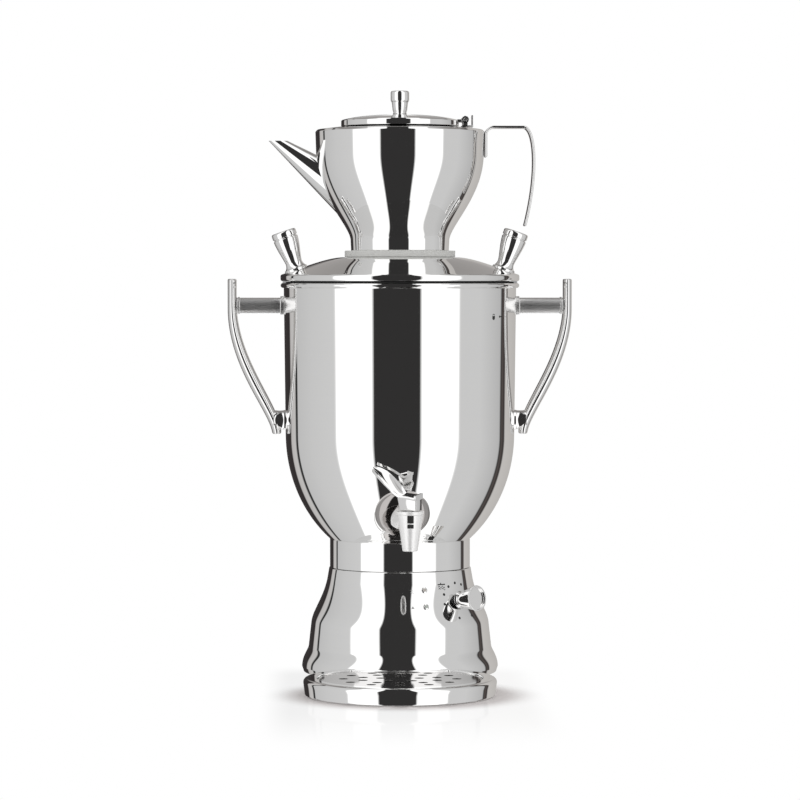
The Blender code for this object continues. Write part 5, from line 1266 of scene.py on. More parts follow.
class SAMOVAR_OT_base(bpy.types.Operator):
    """Add the base housing, the neck ring, the feet and the cord's gland"""

    bl_idname = "samovar.base"
    bl_label = "Base"

    def execute(self, context):
        sizes = context.scene.samovar_sizes
        outer = housing_side(0.0, HOUSING_STEPS)
        inner = housing_side(SHEET, HOUSING_STEPS)
        shelf = [(HOUSING_SHELF_RADIUS, HOUSING_TOP_HEIGHT - SHEET),
                 (HOUSING_SHELF_RADIUS, HOUSING_TOP_HEIGHT)]
        outline = rounded(outer + inner[::-1] + shelf, sizes.edge_round, loop=True)
        dress(turned("housing_shell", outline, sizes.vessel_steps), "urn", "polished_steel", "base_housing")

        inside = NECK_RING_RADIUS - SHEET
        low = HOUSING_TOP_HEIGHT + SEAT_GAP
        ring = [(NECK_RING_RADIUS, bowl_height(NECK_RING_RADIUS) + SEATED), (NECK_RING_RADIUS, low),
                (inside, low), (inside, bowl_height(inside) + SEATED)]
        dress(turned("neck_band", rounded(ring, sizes.fine_round, loop=True), sizes.vessel_steps), "urn",
              "polished_steel", "neck_ring")

        outline = rounded([(0, FOOT_HEIGHT), (FOOT_RADIUS, FOOT_HEIGHT), (FOOT_SOLE_RADIUS, 0), (0, 0)],
                          sizes.edge_round)
        places = ring_places(FOOT_COUNT, FOOT_CIRCLE_RADIUS, first=math.pi / FOOT_COUNT)
        for number, place in enumerate(places, 1):
            dress(turned("rubber_foot_%d" % number, outline, sizes.fitting_steps, place), "urn",
                  "black_rubber", "foot_%d" % number)

        wall, tilt = on_side(housing_side(0.0, HOUSING_CAD_STEPS), GLAND_HEIGHT)
        outline = [(GLAND_BORE_RADIUS, GLAND_STAND), (GLAND_NECK_RADIUS, GLAND_STAND),
                   (GLAND_FLANGE_RADIUS, GLAND_STAND / 2), (GLAND_FLANGE_RADIUS, 0),
                   (GLAND_NECK_RADIUS, 0), (GLAND_NECK_RADIUS, -GLAND_NECK_LENGTH),
                   (GLAND_BORE_RADIUS, -GLAND_NECK_LENGTH)]
        dress(turned("gland_bush", rounded(outline, sizes.edge_round, loop=True), sizes.fitting_steps,
                     around(math.pi, wall, GLAND_HEIGHT, tilt)), "urn", "black_plastic", "cord_gland")
        return {"FINISHED"}


class SAMOVAR_OT_vessel(bpy.types.Operator):
    """Add the vessel with its rolled rim and its bayonet lugs"""

    bl_idname = "samovar.vessel"
    bl_label = "Vessel"

    def execute(self, context):
        sizes = context.scene.samovar_sizes
        inner = vessel_side(SHEET)
        rim_radius = VESSEL_TOP_RADIUS - SHEET + RIM_BEAD_RADIUS
        bead = arc((rim_radius, RIM_BEAD_HEIGHT), RIM_BEAD_RADIUS, 180, -90, RIM_BEAD_STEPS)
        outline = [(0, inner[-1][1])] + inner[::-1] + bead + vessel_side()
        outline.append((0, bowl_height(VESSEL_FLOOR_RADIUS)))
        pot = turned("vessel_pot", rounded(outline, sizes.fine_round), sizes.vessel_steps)
        lugs = [lug(LUG_INNER_RADIUS, VESSEL_TOP_RADIUS - SHEET / 2, VESSEL_LUG_HEIGHT, turn)
                for turn in lug_turns(0.0)]
        dress(joined(pot, *lugs), "urn", "polished_steel", "vessel")
        return {"FINISHED"}


class SAMOVAR_OT_handles(bpy.types.Operator):
    """Add the two carrying handles: a curved bar, its arm and its foot"""

    bl_idname = "samovar.handles"
    bl_label = "Carrying handles"

    def execute(self, context):
        sizes = context.scene.samovar_sizes
        for side, name in ((-1, "left"), (1, "right")):
            self.add_bar(sizes, side, name)
            self.add_arm(sizes, side, name)
        return {"FINISHED"}

    def add_bar(self, sizes, side, name):
        """The curved bar and the waisted foot that holds its lower end."""
        path = handle_path(side)
        grip = bar("grip_" + name, path, HANDLE_WIDTH, HANDLE_ROUND, self.section)
        start = on_side(vessel_side(), FOOT_PAD_HEIGHT)[0] - SHEET / 2
        reach = abs(min(path, key=lambda point: abs(point[1] - FOOT_PAD_HEIGHT))[0])
        waist = (FOOT_PAD_RADIUS, (start + reach) / 2)
        outline = [(0, start), (FOOT_PAD_END_RADIUS, start)]
        outline += curved((FOOT_PAD_END_RADIUS, start + SHEET), waist,
                          FOOT_PAD_INNER_SHARES, FOOT_PAD_STEPS)
        outline += curved(waist, (FOOT_PAD_END_RADIUS, reach), FOOT_PAD_OUTER_SHARES, FOOT_PAD_STEPS)
        outline += [(0, reach)]
        foot = turned("foot_" + name, rounded(outline, sizes.fine_round), sizes.fitting_steps,
                      facing((0, 0, FOOT_PAD_HEIGHT), (side, 0, 0)))
        dress(joined(grip, foot), "urn", "cast_chrome", "handle_bar_" + name, slot="polished_steel")

    def add_arm(self, sizes, side, name):
        """The round arm from the vessel to the bar, with its collar and its ring."""
        start = on_side(vessel_side(), HANDLE_ARM_HEIGHT)[0] - SEATED
        collar = start + HANDLE_COLLAR_LENGTH
        end = HANDLE_REACH - HANDLE_THICKNESS / 2 + SEATED
        ring_high = end - HANDLE_RING_GAP
        ring_low = ring_high - HANDLE_RING_LENGTH
        outline = [(0, end), (HANDLE_ARM_RADIUS, end), (HANDLE_ARM_RADIUS, ring_high),
                   (HANDLE_RING_RADIUS, ring_high), (HANDLE_RING_RADIUS, ring_low),
                   (HANDLE_ARM_RADIUS, ring_low), (HANDLE_ARM_RADIUS, collar),
                   (HANDLE_COLLAR_RADIUS, collar), (HANDLE_COLLAR_RADIUS, start), (0, start)]
        arm = turned("arm_" + name, rounded(outline, sizes.fine_round), sizes.fitting_steps,
                     facing((0, 0, HANDLE_ARM_HEIGHT), (side, 0, 0)))
        dress(arm, "urn", "arm_chrome", "handle_arm_" + name, slot="polished_steel")

    def section(self, width, thickness, inset):
        """The bar's oval section, drawn in at its ends."""
        return oval(width - inset * 2, thickness - inset * 2, HANDLE_SECTION_STEPS)


class SAMOVAR_OT_lid(bpy.types.Operator):
    """Add the vessel's lid with its gasket, the ring for the teapot and the two knobs"""

    bl_idname = "samovar.lid"
    bl_label = "Lid"

    def execute(self, context):
        sizes = context.scene.samovar_sizes
        under = gasket_top() - GASKET_THICKNESS
        plug_radius = VESSEL_TOP_RADIUS - SHEET - RUNNING_GAP
        plug_inner = LID_SKIRT_RADIUS + RUNNING_GAP
        outline = [(plug_inner, gasket_top()), (GASKET_FLANGE_RADIUS, gasket_top()),
                   (GASKET_FLANGE_RADIUS, under), (plug_radius, under),
                   (plug_radius, under - GASKET_PLUG_DEPTH), (plug_inner, under - GASKET_PLUG_DEPTH)]
        dress(turned("lid_seal", rounded(outline, sizes.fine_round, loop=True), sizes.vessel_steps),
              "lid_seal", "dark_silicone", "lid_gasket")
        self.add_cover(sizes)

        seat = LID_CROWN_HEIGHT + SEATED
        high = seat + SEAT_RING_HEIGHT
        ledge = seat + SEAT_RING_LEDGE_HEIGHT
        outline = [(SEAT_RING_LIP_RADIUS, high), (SEAT_RING_RADIUS, high), (SEAT_RING_RADIUS, seat),
                   (SEAT_RING_LEDGE_RADIUS, seat), (SEAT_RING_LEDGE_RADIUS, ledge),
                   (SEAT_RING_LIP_RADIUS, ledge)]
        dress(turned("teapot_ring", rounded(outline, sizes.edge_round, loop=True), sizes.vessel_steps),
              "lid", "pale_silicone", "lid_seat_ring")

        for side, name in ((-1, "left"), (1, "right")):
            height, lean = on_top(lid_top(LID_CAD_STEPS), KNOB_CIRCLE_RADIUS)
            place = facing((side * KNOB_CIRCLE_RADIUS, 0, height),
                           (side * math.sin(lean), 0, math.cos(lean)))
            dress(self.knob("grip_knob_" + name, sizes, place), "lid", "cast_chrome", "lid_knob_" + name,
                  slot="polished_steel")
        return {"FINISHED"}

    def add_cover(self, sizes):
        """The domed lid with its skirt, lugs and steam holes."""
        low = gasket_top() + SEAT_GAP
        high = low + LID_EDGE_HEIGHT
        skirt_low = VESSEL_LUG_HEIGHT - SEAT_GAP * 2 - LUG_THICKNESS
        skirt_inner = LID_SKIRT_RADIUS - SHEET
        top = lid_top(LID_DOME_STEPS)
        corner = (skirt_inner, on_top(top, skirt_inner)[0] - SHEET)
        inner_top = [(radius - SHEET / 4, height - SHEET) for radius, height in top if radius < skirt_inner]
        outline = [(0, LID_CROWN_HEIGHT)] + top
        outline += [(LID_EDGE_RADIUS, high, LID_EDGE_ROUND), (LID_EDGE_RADIUS, low, LID_EDGE_ROUND),
                    (LID_SKIRT_RADIUS, low), (LID_SKIRT_RADIUS, skirt_low), (skirt_inner, skirt_low),
                    corner]
        outline += inner_top[::-1] + [(0, LID_CROWN_HEIGHT - SHEET)]
        cover = turned("lid_cover", rounded(outline, sizes.fine_round), sizes.vessel_steps)
        holes = [rod("vent", VENT_RADIUS, -SHEET - OVERRUN, OVERRUN, PIN_STEPS, place)
                 for place in ring_places(VENT_COUNT, VENT_CIRCLE_RADIUS, LID_CROWN_HEIGHT)]
        combine(cover, holes, "DIFFERENCE")
        lugs = [lug(LID_SKIRT_RADIUS - SHEET / 2, LID_LUG_RADIUS, skirt_low, turn)
                for turn in lug_turns(UNLOCKED_TURN)]
        dress(joined(cover, *lugs), "lid", "polished_steel", "vessel_lid")

    def knob(self, name, sizes, place):
        """One knob, standing square on the lid's slope."""
        outline = [(0, KNOB_HEIGHT), (KNOB_CAP_RADIUS, KNOB_HEIGHT, SHEET),
                   (KNOB_CAP_RADIUS, KNOB_CAP_HEIGHT), (KNOB_GROOVE_RADIUS, KNOB_CAP_HEIGHT),
                   (KNOB_GROOVE_RADIUS, KNOB_GROOVE_HEIGHT),
                   (KNOB_CAP_RADIUS, KNOB_GROOVE_HEIGHT)]
        outline += curved((KNOB_CAP_RADIUS, KNOB_GROOVE_HEIGHT), (KNOB_NECK_RADIUS, KNOB_FOOT_HEIGHT),
                          KNOB_SIDE_SHARES, KNOB_SIDE_STEPS)
        outline += curved((KNOB_NECK_RADIUS, KNOB_FOOT_HEIGHT), (KNOB_FOOT_RADIUS, SEAT_GAP * 4),
                          KNOB_SPREAD_SHARES, KNOB_SPREAD_STEPS)
        outline += [(KNOB_FOOT_RADIUS, -SEAT_GAP), (SCREW_RADIUS, -SEAT_GAP), (SCREW_RADIUS, SCREW_GRIP),
                    (0, SCREW_GRIP)]
        return turned(name, rounded(outline, sizes.fine_round), sizes.fitting_steps, place)


class SAMOVAR_OT_teapot(bpy.types.Operator):
    """Add the teapot's body, spout, strap handle and hinge leaf"""

    bl_idname = "samovar.teapot"
    bl_label = "Teapot"

    def execute(self, context):
        sizes = context.scene.samovar_sizes
        self.add_body(sizes)
        self.add_strap()
        self.add_leaf(sizes)
        return {"FINISHED"}

    def add_body(self, sizes):
        """The pot and its spout, with the strainer's holes between them."""
        foot = LID_CROWN_HEIGHT + SEAT_GAP * 2 + SEAT_RING_LEDGE_HEIGHT
        inner = teapot_side(SHEET, TEAPOT_SIDE_STEPS)
        mouth_under = TEAPOT_MOUTH_HEIGHT - SHEET
        outline = [(0, foot + SHEET), (TEAPOT_FOOT_RADIUS - SHEET, foot + SHEET)] + inner[::-1]
        outline += [(TEAPOT_MOUTH_LAND_RADIUS, mouth_under), (TEAPOT_MOUTH_RADIUS, mouth_under),
                    (TEAPOT_MOUTH_RADIUS, TEAPOT_MOUTH_HEIGHT),
                    (TEAPOT_MOUTH_LAND_RADIUS, TEAPOT_MOUTH_HEIGHT),
                    (TEAPOT_SHOULDER_RADIUS, TEAPOT_SHOULDER_HEIGHT, SHEET)]
        outline += teapot_side(0.0, TEAPOT_SIDE_STEPS) + [(TEAPOT_FOOT_RADIUS, foot), (0, foot)]
        body = turned("teapot_pot", rounded(outline, sizes.edge_round), sizes.vessel_steps)

        root = Vector((-SPOUT_ROOT_REACH, 0, SPOUT_ROOT_HEIGHT))
        tip = Vector((-SPOUT_TIP_REACH, 0, SPOUT_TIP_HEIGHT))
        length = (tip - root).length
        place = facing(root, tip - root)
        growth = (SPOUT_TIP_RADIUS - SPOUT_ROOT_RADIUS) / length
        low = -SPOUT_ROOT_OVERRUN
        high = length + SPOUT_TIP_OVERRUN
        narrow = SPOUT_ROOT_RADIUS + growth * high
        wide = SPOUT_ROOT_RADIUS + growth * low
        outline = [(narrow, high), (wide, low), (wide - SPOUT_WALL, low), (narrow - SPOUT_WALL, high)]
        spout = turned("spout_cone", outline, sizes.fitting_steps, place)
        side = teapot_side(SEATED, TEAPOT_SIDE_STEPS)
        outline = [(0, TEAPOT_MOUTH_HEIGHT), (side[1][0], TEAPOT_MOUTH_HEIGHT)] + side[1:]
        plug = turned("teapot_plug", outline + [(0, side[-1][1])], sizes.vessel_steps)
        far = SPOUT_TIP_REACH + SPOUT_TIP_OVERRUN * 2
        high = SPOUT_TIP_HEIGHT + SPOUT_ROOT_RADIUS * 2
        top = block("spout_cut", (-far, -SPOUT_ROOT_RADIUS, SPOUT_TIP_HEIGHT),
                    (-SPOUT_ROOT_REACH, SPOUT_ROOT_RADIUS, high), SEATED)
        combine(spout, [plug, top], "DIFFERENCE")
        dress(spout, "teapot", "polished_steel", "teapot_spout")

        holes = [rod("strainer", STRAINER_RADIUS, low, 0, PIN_STEPS, place @ shift)
                 for shift in [Matrix()] + ring_places(STRAINER_COUNT, STRAINER_CIRCLE_RADIUS)]
        combine(body, holes, "DIFFERENCE")
        dress(body, "teapot", "polished_steel", "teapot_body")

    def add_strap(self):
        """The steel strap: up the wall, level outwards and down in a long curve."""
        reach = TEAPOT_RIM_RADIUS + STRAP_THICKNESS / 2
        corner = (reach + STRAP_CORNER_RADIUS, STRAP_TOP_HEIGHT - STRAP_CORNER_RADIUS)
        level = (STRAP_LEVEL_REACH, STRAP_TOP_HEIGHT)
        end = (STRAP_END_REACH, STRAP_END_HEIGHT)
        drop = STRAP_TOP_HEIGHT - STRAP_END_HEIGHT
        bulge = (STRAP_BULGE_REACH, STRAP_END_HEIGHT + drop * STRAP_BULGE_SHARE)
        path = straight((reach, STRAP_FOOT_HEIGHT), (reach, corner[1]), STRAP_STRAIGHT_STEPS)[:-1]
        path += arc(corner, STRAP_CORNER_RADIUS, 180, 90, STRAP_CORNER_STEPS)
        path += straight((corner[0], STRAP_TOP_HEIGHT), level, STRAP_STRAIGHT_STEPS)[1:]
        path += bezier(level, (STRAP_BEND_REACH, STRAP_TOP_HEIGHT), bulge, end, STRAP_STEPS)
        path = [(*point, STRAP_THICKNESS) for point in path]
        dress(bar("strap_grip", path, STRAP_WIDTH, STRAP_ROUND, self.strap_section), "teapot",
              "cast_chrome", "teapot_handle", slot="polished_steel")

    def strap_section(self, width, thickness, inset):
        """The strap's flat section with rounded edges, drawn in at its ends."""
        own = max(STRAP_ROUND - inset, STRAP_ROUND * STRAP_END_ROUND_SHARE)
        return rounded_rectangle(width - inset * 2, thickness - inset * 2, own)

    def add_leaf(self, sizes):
        """The hinge's fixed half: a leaf on the shoulder, two knuckles and an upright stop."""
        bottom = TEAPOT_MOUTH_HEIGHT
        gap = HINGE_MIDDLE_LENGTH / 2 + RUNNING_GAP
        outer = gap + HINGE_SIDE_LENGTH
        parts = [block("hinge_base", (HINGE_REACH - HINGE_RADIUS, -outer, bottom),
                       (HINGE_LEAF_REACH, outer, bottom + HINGE_LEAF_THICKNESS), HINGE_ROUND),
                 block("hinge_stop", (HINGE_LEAF_REACH - HINGE_LEAF_THICKNESS, -gap, bottom),
                       (HINGE_LEAF_REACH, gap, HINGE_STOP_TOP), HINGE_ROUND)]
        for side in (-1, 1):
            low, high = sorted((side * gap, side * outer))
            outline = [(HINGE_BORE_RADIUS, high), (HINGE_RADIUS, high), (HINGE_RADIUS, low),
                       (HINGE_BORE_RADIUS, low)]
            parts.append(turned("knuckle", rounded(outline, sizes.fine_round, loop=True),
                                sizes.fitting_steps, hinge_frame()))
            parts.append(block("ear", (HINGE_REACH - HINGE_RADIUS * 2 / 3, low, bottom + HINGE_ROUND),
                               (HINGE_REACH + HINGE_RADIUS * 2 / 3, high, HINGE_HEIGHT - HINGE_PIN_RADIUS),
                               HINGE_ROUND))
        dress(joined(*parts), "teapot", "cast_chrome", "hinge_leaf", slot="polished_steel")


class SAMOVAR_OT_teapot_lid(bpy.types.Operator):
    """Add the teapot's hinged lid and its knob"""

    bl_idname = "samovar.teapot_lid"
    bl_label = "Teapot lid"

    def execute(self, context):
        sizes = context.scene.samovar_sizes
        low = TEAPOT_MOUTH_HEIGHT + SEAT_GAP * 2
        high = low + TEAPOT_LID_BAND
        crown = high + TEAPOT_LID_RISE
        edge = TEAPOT_LID_RADIUS
        plug = TEAPOT_MOUTH_RADIUS - TEAPOT_LID_PLUG_GAP
        plug_low = TEAPOT_MOUTH_HEIGHT - TEAPOT_LID_PLUG_DEPTH
        inner = curved((0, crown - SHEET), (plug - SHEET, high - SHEET), TEAPOT_LID_SHARES,
                       TEAPOT_LID_INNER_STEPS)
        outline = [(0, crown)]
        outline += curved((0, crown), (edge - SHEET / 2, high), TEAPOT_LID_SHARES, TEAPOT_LID_STEPS)
        outline += [(edge, high - SHEET / 2), (edge, low), (plug, low), (plug, plug_low),
                    (plug - SHEET, plug_low)]
        outline += inner[::-1] + [(0, crown - SHEET)]
        cover = turned("teapot_cover", rounded(outline, sizes.edge_round), sizes.vessel_steps)
        half = HINGE_MIDDLE_LENGTH / 2
        ring = [(HINGE_BORE_RADIUS, half), (HINGE_RADIUS, half), (HINGE_RADIUS, -half),
                (HINGE_BORE_RADIUS, -half)]
        knuckle = turned("middle_knuckle", rounded(ring, sizes.fine_round, loop=True), sizes.fitting_steps,
                         hinge_frame())
        tab_low = HINGE_HEIGHT - HINGE_RADIUS * 2 / 3
        tab = block("tab", (edge - SHEET, -half, tab_low),
                    (HINGE_REACH - HINGE_PIN_RADIUS, half, tab_low + HINGE_LEAF_THICKNESS * 2), HINGE_ROUND)
        dress(joined(cover, knuckle, tab), "teapot_cover", "polished_steel", "teapot_lid")

        start = crown - SEATED
        top = crown + SEAT_GAP + TEAPOT_KNOB_HEIGHT
        height = top - start
        spread = TEAPOT_KNOB_RADIUS - TEAPOT_KNOB_NECK_RADIUS
        outline = [(0, top), (TEAPOT_KNOB_RADIUS, top, SHEET)]
        for out, up in TEAPOT_KNOB_SHARES[::-1]:
            outline.append((TEAPOT_KNOB_NECK_RADIUS + spread * out, start + height * up, SHEET * 2))
        outline[-1] = (TEAPOT_KNOB_NECK_RADIUS, start + SHEET, SHEET)
        outline += [(TEAPOT_KNOB_FOOT_RADIUS, start), (SCREW_RADIUS, start),
                    (SCREW_RADIUS, start + SCREW_GRIP), (0, start + SCREW_GRIP)]
        dress(turned("teapot_cover_knob", rounded(outline, sizes.fine_round), sizes.fitting_steps),
              "teapot_cover", "cast_chrome", "teapot_lid_knob", slot="polished_steel")
        return {"FINISHED"}


class SAMOVAR_OT_tap(bpy.types.Operator):
    """Add the tap: rosette, body and lever"""

    bl_idname = "samovar.tap"
    bl_label = "Tap"

    def execute(self, context):
        sizes = context.scene.samovar_sizes
        axis = tap_frame()
        self.add_rosette(sizes)
        self.add_body(sizes, axis)
        self.add_lever()
        return {"FINISHED"}

    def add_rosette(self, sizes):
        """The domed plate that covers the hole in the bowl."""
        radius, tilt = on_side(vessel_side(0.0, VESSEL_CAD_STEPS), TAP_HEIGHT)
        edge = ROSETTE_EDGE - ROSETTE_DOME / 2
        outline = [(0, ROSETTE_DOME)]
        outline += curved((0, ROSETTE_DOME), (ROSETTE_RADIUS, edge), ROSETTE_SHARES, ROSETTE_STEPS)
        outline += [(ROSETTE_RADIUS, -ROSETTE_DOME), (0, -ROSETTE_DOME)]
        plate = turned("tap_plate", rounded(outline, sizes.edge_round), sizes.vessel_steps,
                       around(0.0, radius, TAP_HEIGHT, tilt))
        combine(plate, [vessel_plug(SEATED, sizes.vessel_steps)], "DIFFERENCE")
        dress(plate, "urn", "rosette_chrome", "tap_rosette", slot="polished_steel")

    def add_body(self, sizes, axis):
        """The casting: hollow barrel, hub and shank."""
        nozzle = BARREL_NOZZLE_RADIUS
        collar_under = BARREL_TOP_HEIGHT - BARREL_COLLAR_HEIGHT
        waist = BARREL_RADIUS - BARREL_COLLAR_STEP
        outline = [(CHAMBER_TOP_RADIUS, BARREL_TOP_HEIGHT), (BARREL_RADIUS, BARREL_TOP_HEIGHT),
                   (BARREL_RADIUS, collar_under), (waist, collar_under - BARREL_COLLAR_STEP),
                   (nozzle, BARREL_BOTTOM_HEIGHT, BARREL_NOZZLE_ROUND),
                   (NOZZLE_BORE_RADIUS, BARREL_BOTTOM_HEIGHT), (NOZZLE_BORE_RADIUS, CHAMBER_FLOOR_HEIGHT),
                   (CHAMBER_LOW_RADIUS, CHAMBER_FLOOR_HEIGHT)]
        barrel = turned("tap_casting", rounded(outline, sizes.fine_round, loop=True), sizes.fitting_steps,
                        barrel_frame())
        neck = (HUB_END_RADIUS, HUB_LENGTH)
        outline = [(0, HUB_LENGTH), neck] + curved(neck, (HUB_RADIUS, 0), HUB_SHARES, HUB_STEPS)
        outline += [(HUB_RADIUS, -HUB_RADIUS), (0, -HUB_RADIUS)]
        hub = turned("hub", outline, sizes.fitting_steps, axis)
        combine(hub, [vessel_plug(SEATED, sizes.vessel_steps)], "DIFFERENCE")
        shank = [(INLET_RADIUS, 0), (SHANK_RADIUS, 0), (SHANK_RADIUS, -SHANK_INSIDE),
                 (INLET_RADIUS, -SHANK_INSIDE)]
        tail = turned("shank", rounded(shank, sizes.edge_round, loop=True), sizes.fitting_steps, axis)
        dress(joined(barrel, hub, tail), "urn", "barrel_chrome", "tap_body", slot="satin_steel")

    def add_lever(self):
        """The lever: a hub block and a dished blade curving up to its tip."""
        place = lever_frame()
        blade = loft("lever_blade", self.blade_loops())
        roll = Matrix()
        roll[2][1] = -LEVER_ROLL
        blade.data.transform(roll)
        blade.data.transform(place)
        back = -LEVER_HEEL + SEATED * 2
        outline = [(back, 0), (LEVER_TOE, 0), (LEVER_THROAT, LEVER_HUB_HEIGHT), (back, LEVER_HUB_HEIGHT)]
        hub = slab("lever_hub", outline, LEVER_HUB_WIDTH, LEVER_HUB_ROUND, place)
        dress(joined(blade, hub), "tap_valve", "cast_chrome", "tap_lever", slot="polished_steel")

    def blade_loops(self):
        """Sections across the blade, from the heel's end wall to the tip."""
        heel = (-LEVER_HEEL, LEVER_HEEL_HEIGHT)
        dip = (LEVER_DIP_REACH, LEVER_DIP_HEIGHT)
        wall = [(heel[0] + LEVER_END_WALL * share, heel[1]) for share in LEVER_WALL_SHARES]
        path = wall + straight(heel, dip, LEVER_STRAIGHT_STEPS)[2:]
        path += curved(dip, (LEVER_REACH, LEVER_RISE), LEVER_SHARES, LEVER_STEPS)
        loops = []
        for index, (reach, rise) in enumerate(path):
            before = Vector(path[max(index - 1, 0)])
            after = Vector(path[min(index + 1, len(path) - 1)])
            along = (after - before).normalized()
            half = self.half_width((reach + LEVER_HEEL) / (LEVER_REACH + LEVER_HEEL))
            top = LEVER_BLADE_THICKNESS / 2
            floor = top - LEVER_DISH * min(1.0, half / (LEVER_BLADE_WIDTH / 2) * LEVER_DISH_SPREAD)
            if index < 2:
                top = floor = LEVER_END_HEIGHT - LEVER_HEEL_HEIGHT
            loops.append([(reach - along.y * out, across, rise + along.x * out)
                          for across, out in self.section(half, top, floor)])
        return loops

    def half_width(self, share):
        """Half the blade's width at a share of its length, eased between the stated shares."""
        for (low, first), (high, second) in zip(LEVER_PLAN_SHARES, LEVER_PLAN_SHARES[1:]):
            if low <= share <= high:
                t = (share - low) / (high - low)
                eased = t * t * (3 - 2 * t) if high < LEVER_EASED_SHARE else t
                return LEVER_BLADE_WIDTH / 2 * (first + (second - first) * eased)
        return LEVER_BLADE_WIDTH / 2 * LEVER_PLAN_SHARES[-1][1]

    def section(self, half, top, floor):
        """One section across the blade: a dished top between two rims, and a crowned underside."""
        edge = min(LEVER_EDGE_ROUND, half * LEVER_EDGE_LIMIT)
        cut = edge * LEVER_EDGE_CUT
        under = -LEVER_BLADE_THICKNESS / 2
        inner = half - edge
        points = [(half, under + edge), (half, top - edge), (half - cut, top - cut), (half - edge, top)]
        for step in range(1, LEVER_SECTION_STEPS):
            across = inner * (1 - 2 * step / LEVER_SECTION_STEPS)
            points.append((across, top + (floor - top) * (1 - (across / inner) ** 2)))
        points += [(-half + edge, top), (-half + cut, top - cut), (-half, top - edge),
                   (-half, under + edge), (-half + cut, under + cut), (-half + edge, under)]
        for step in range(1, LEVER_SECTION_STEPS):
            across = inner * (2 * step / LEVER_SECTION_STEPS - 1)
            points.append((across, under - LEVER_CROWN * (1 - (across / inner) ** 2)))
        return points + [(half - edge, under), (half - cut, under + cut)]


class SAMOVAR_OT_controls(bpy.types.Operator):
    """Add the heat dial's knob and the two indicator lamps"""

    bl_idname = "samovar.controls"
    bl_label = "Dial and lamps"

    def execute(self, context):
        sizes = context.scene.samovar_sizes
        end = DIAL_START + DIAL_LENGTH
        grip = DIAL_START + SHAFT_GRIP
        bore = SHAFT_RADIUS + RUNNING_GAP
        spread = DIAL_CAP_RADIUS - DIAL_WAIST_RADIUS
        flare = [(DIAL_WAIST_RADIUS + spread * out, DIAL_START + DIAL_LENGTH * along, SHEET * 2)
                 for along, out in DIAL_SHARES[:-1]]
        face = DIAL_CAP_RADIUS - DIAL_BEZEL_WIDTH
        outline = [(0, grip), (bore, grip), (bore, DIAL_START), (DIAL_SKIRT_RADIUS, DIAL_START)] + flare
        outline += [(DIAL_CAP_RADIUS, end, SHEET / 2), (face, end, SEATED), (face, end - DIAL_RECESS),
                    (0, end - DIAL_RECESS)]
        dress(turned("dial_grip", rounded(outline, sizes.fine_round), sizes.fitting_steps, dial_frame()),
              "dial", "cast_chrome", "dial_knob", slot="polished_steel")

        for index, name in enumerate(("upper", "lower")):
            radius, tilt = on_side(housing_side(0.0, HOUSING_CAD_STEPS), LAMP_HEIGHTS[index])
            place = around(LAMP_AZIMUTHS[index], radius, LAMP_HEIGHTS[index], tilt)
            inner = LAMP_LENS_RADIUS
            tube = LAMP_HOLE_RADIUS - SEAT_GAP
            outline = [(inner, LAMP_STAND), (LAMP_BEZEL_RADIUS, LAMP_STAND / 2), (LAMP_BEZEL_RADIUS, 0),
                       (tube, 0), (tube, -LAMP_LENGTH / 2), (inner, -LAMP_LENGTH / 2)]
            dress(turned("bezel_" + name, rounded(outline, sizes.fine_round, loop=True), PIN_STEPS, place),
                  "urn", "cast_chrome", "lamp_bezel_" + name, slot="polished_steel")
            lens = [(0, LAMP_STAND)]
            lens += curved((0, LAMP_STAND), (inner, LAMP_STAND / 3), LENS_SHARES, LENS_STEPS)
            lens += [(inner, -LAMP_LENGTH), (0, -LAMP_LENGTH)]
            finish_name = "amber_lens" if name == "upper" else "green_lens"
            dress(turned("lens_" + name, lens, PIN_STEPS, place), "urn", finish_name, "lamp_lens_" + name)
        return {"FINISHED"}


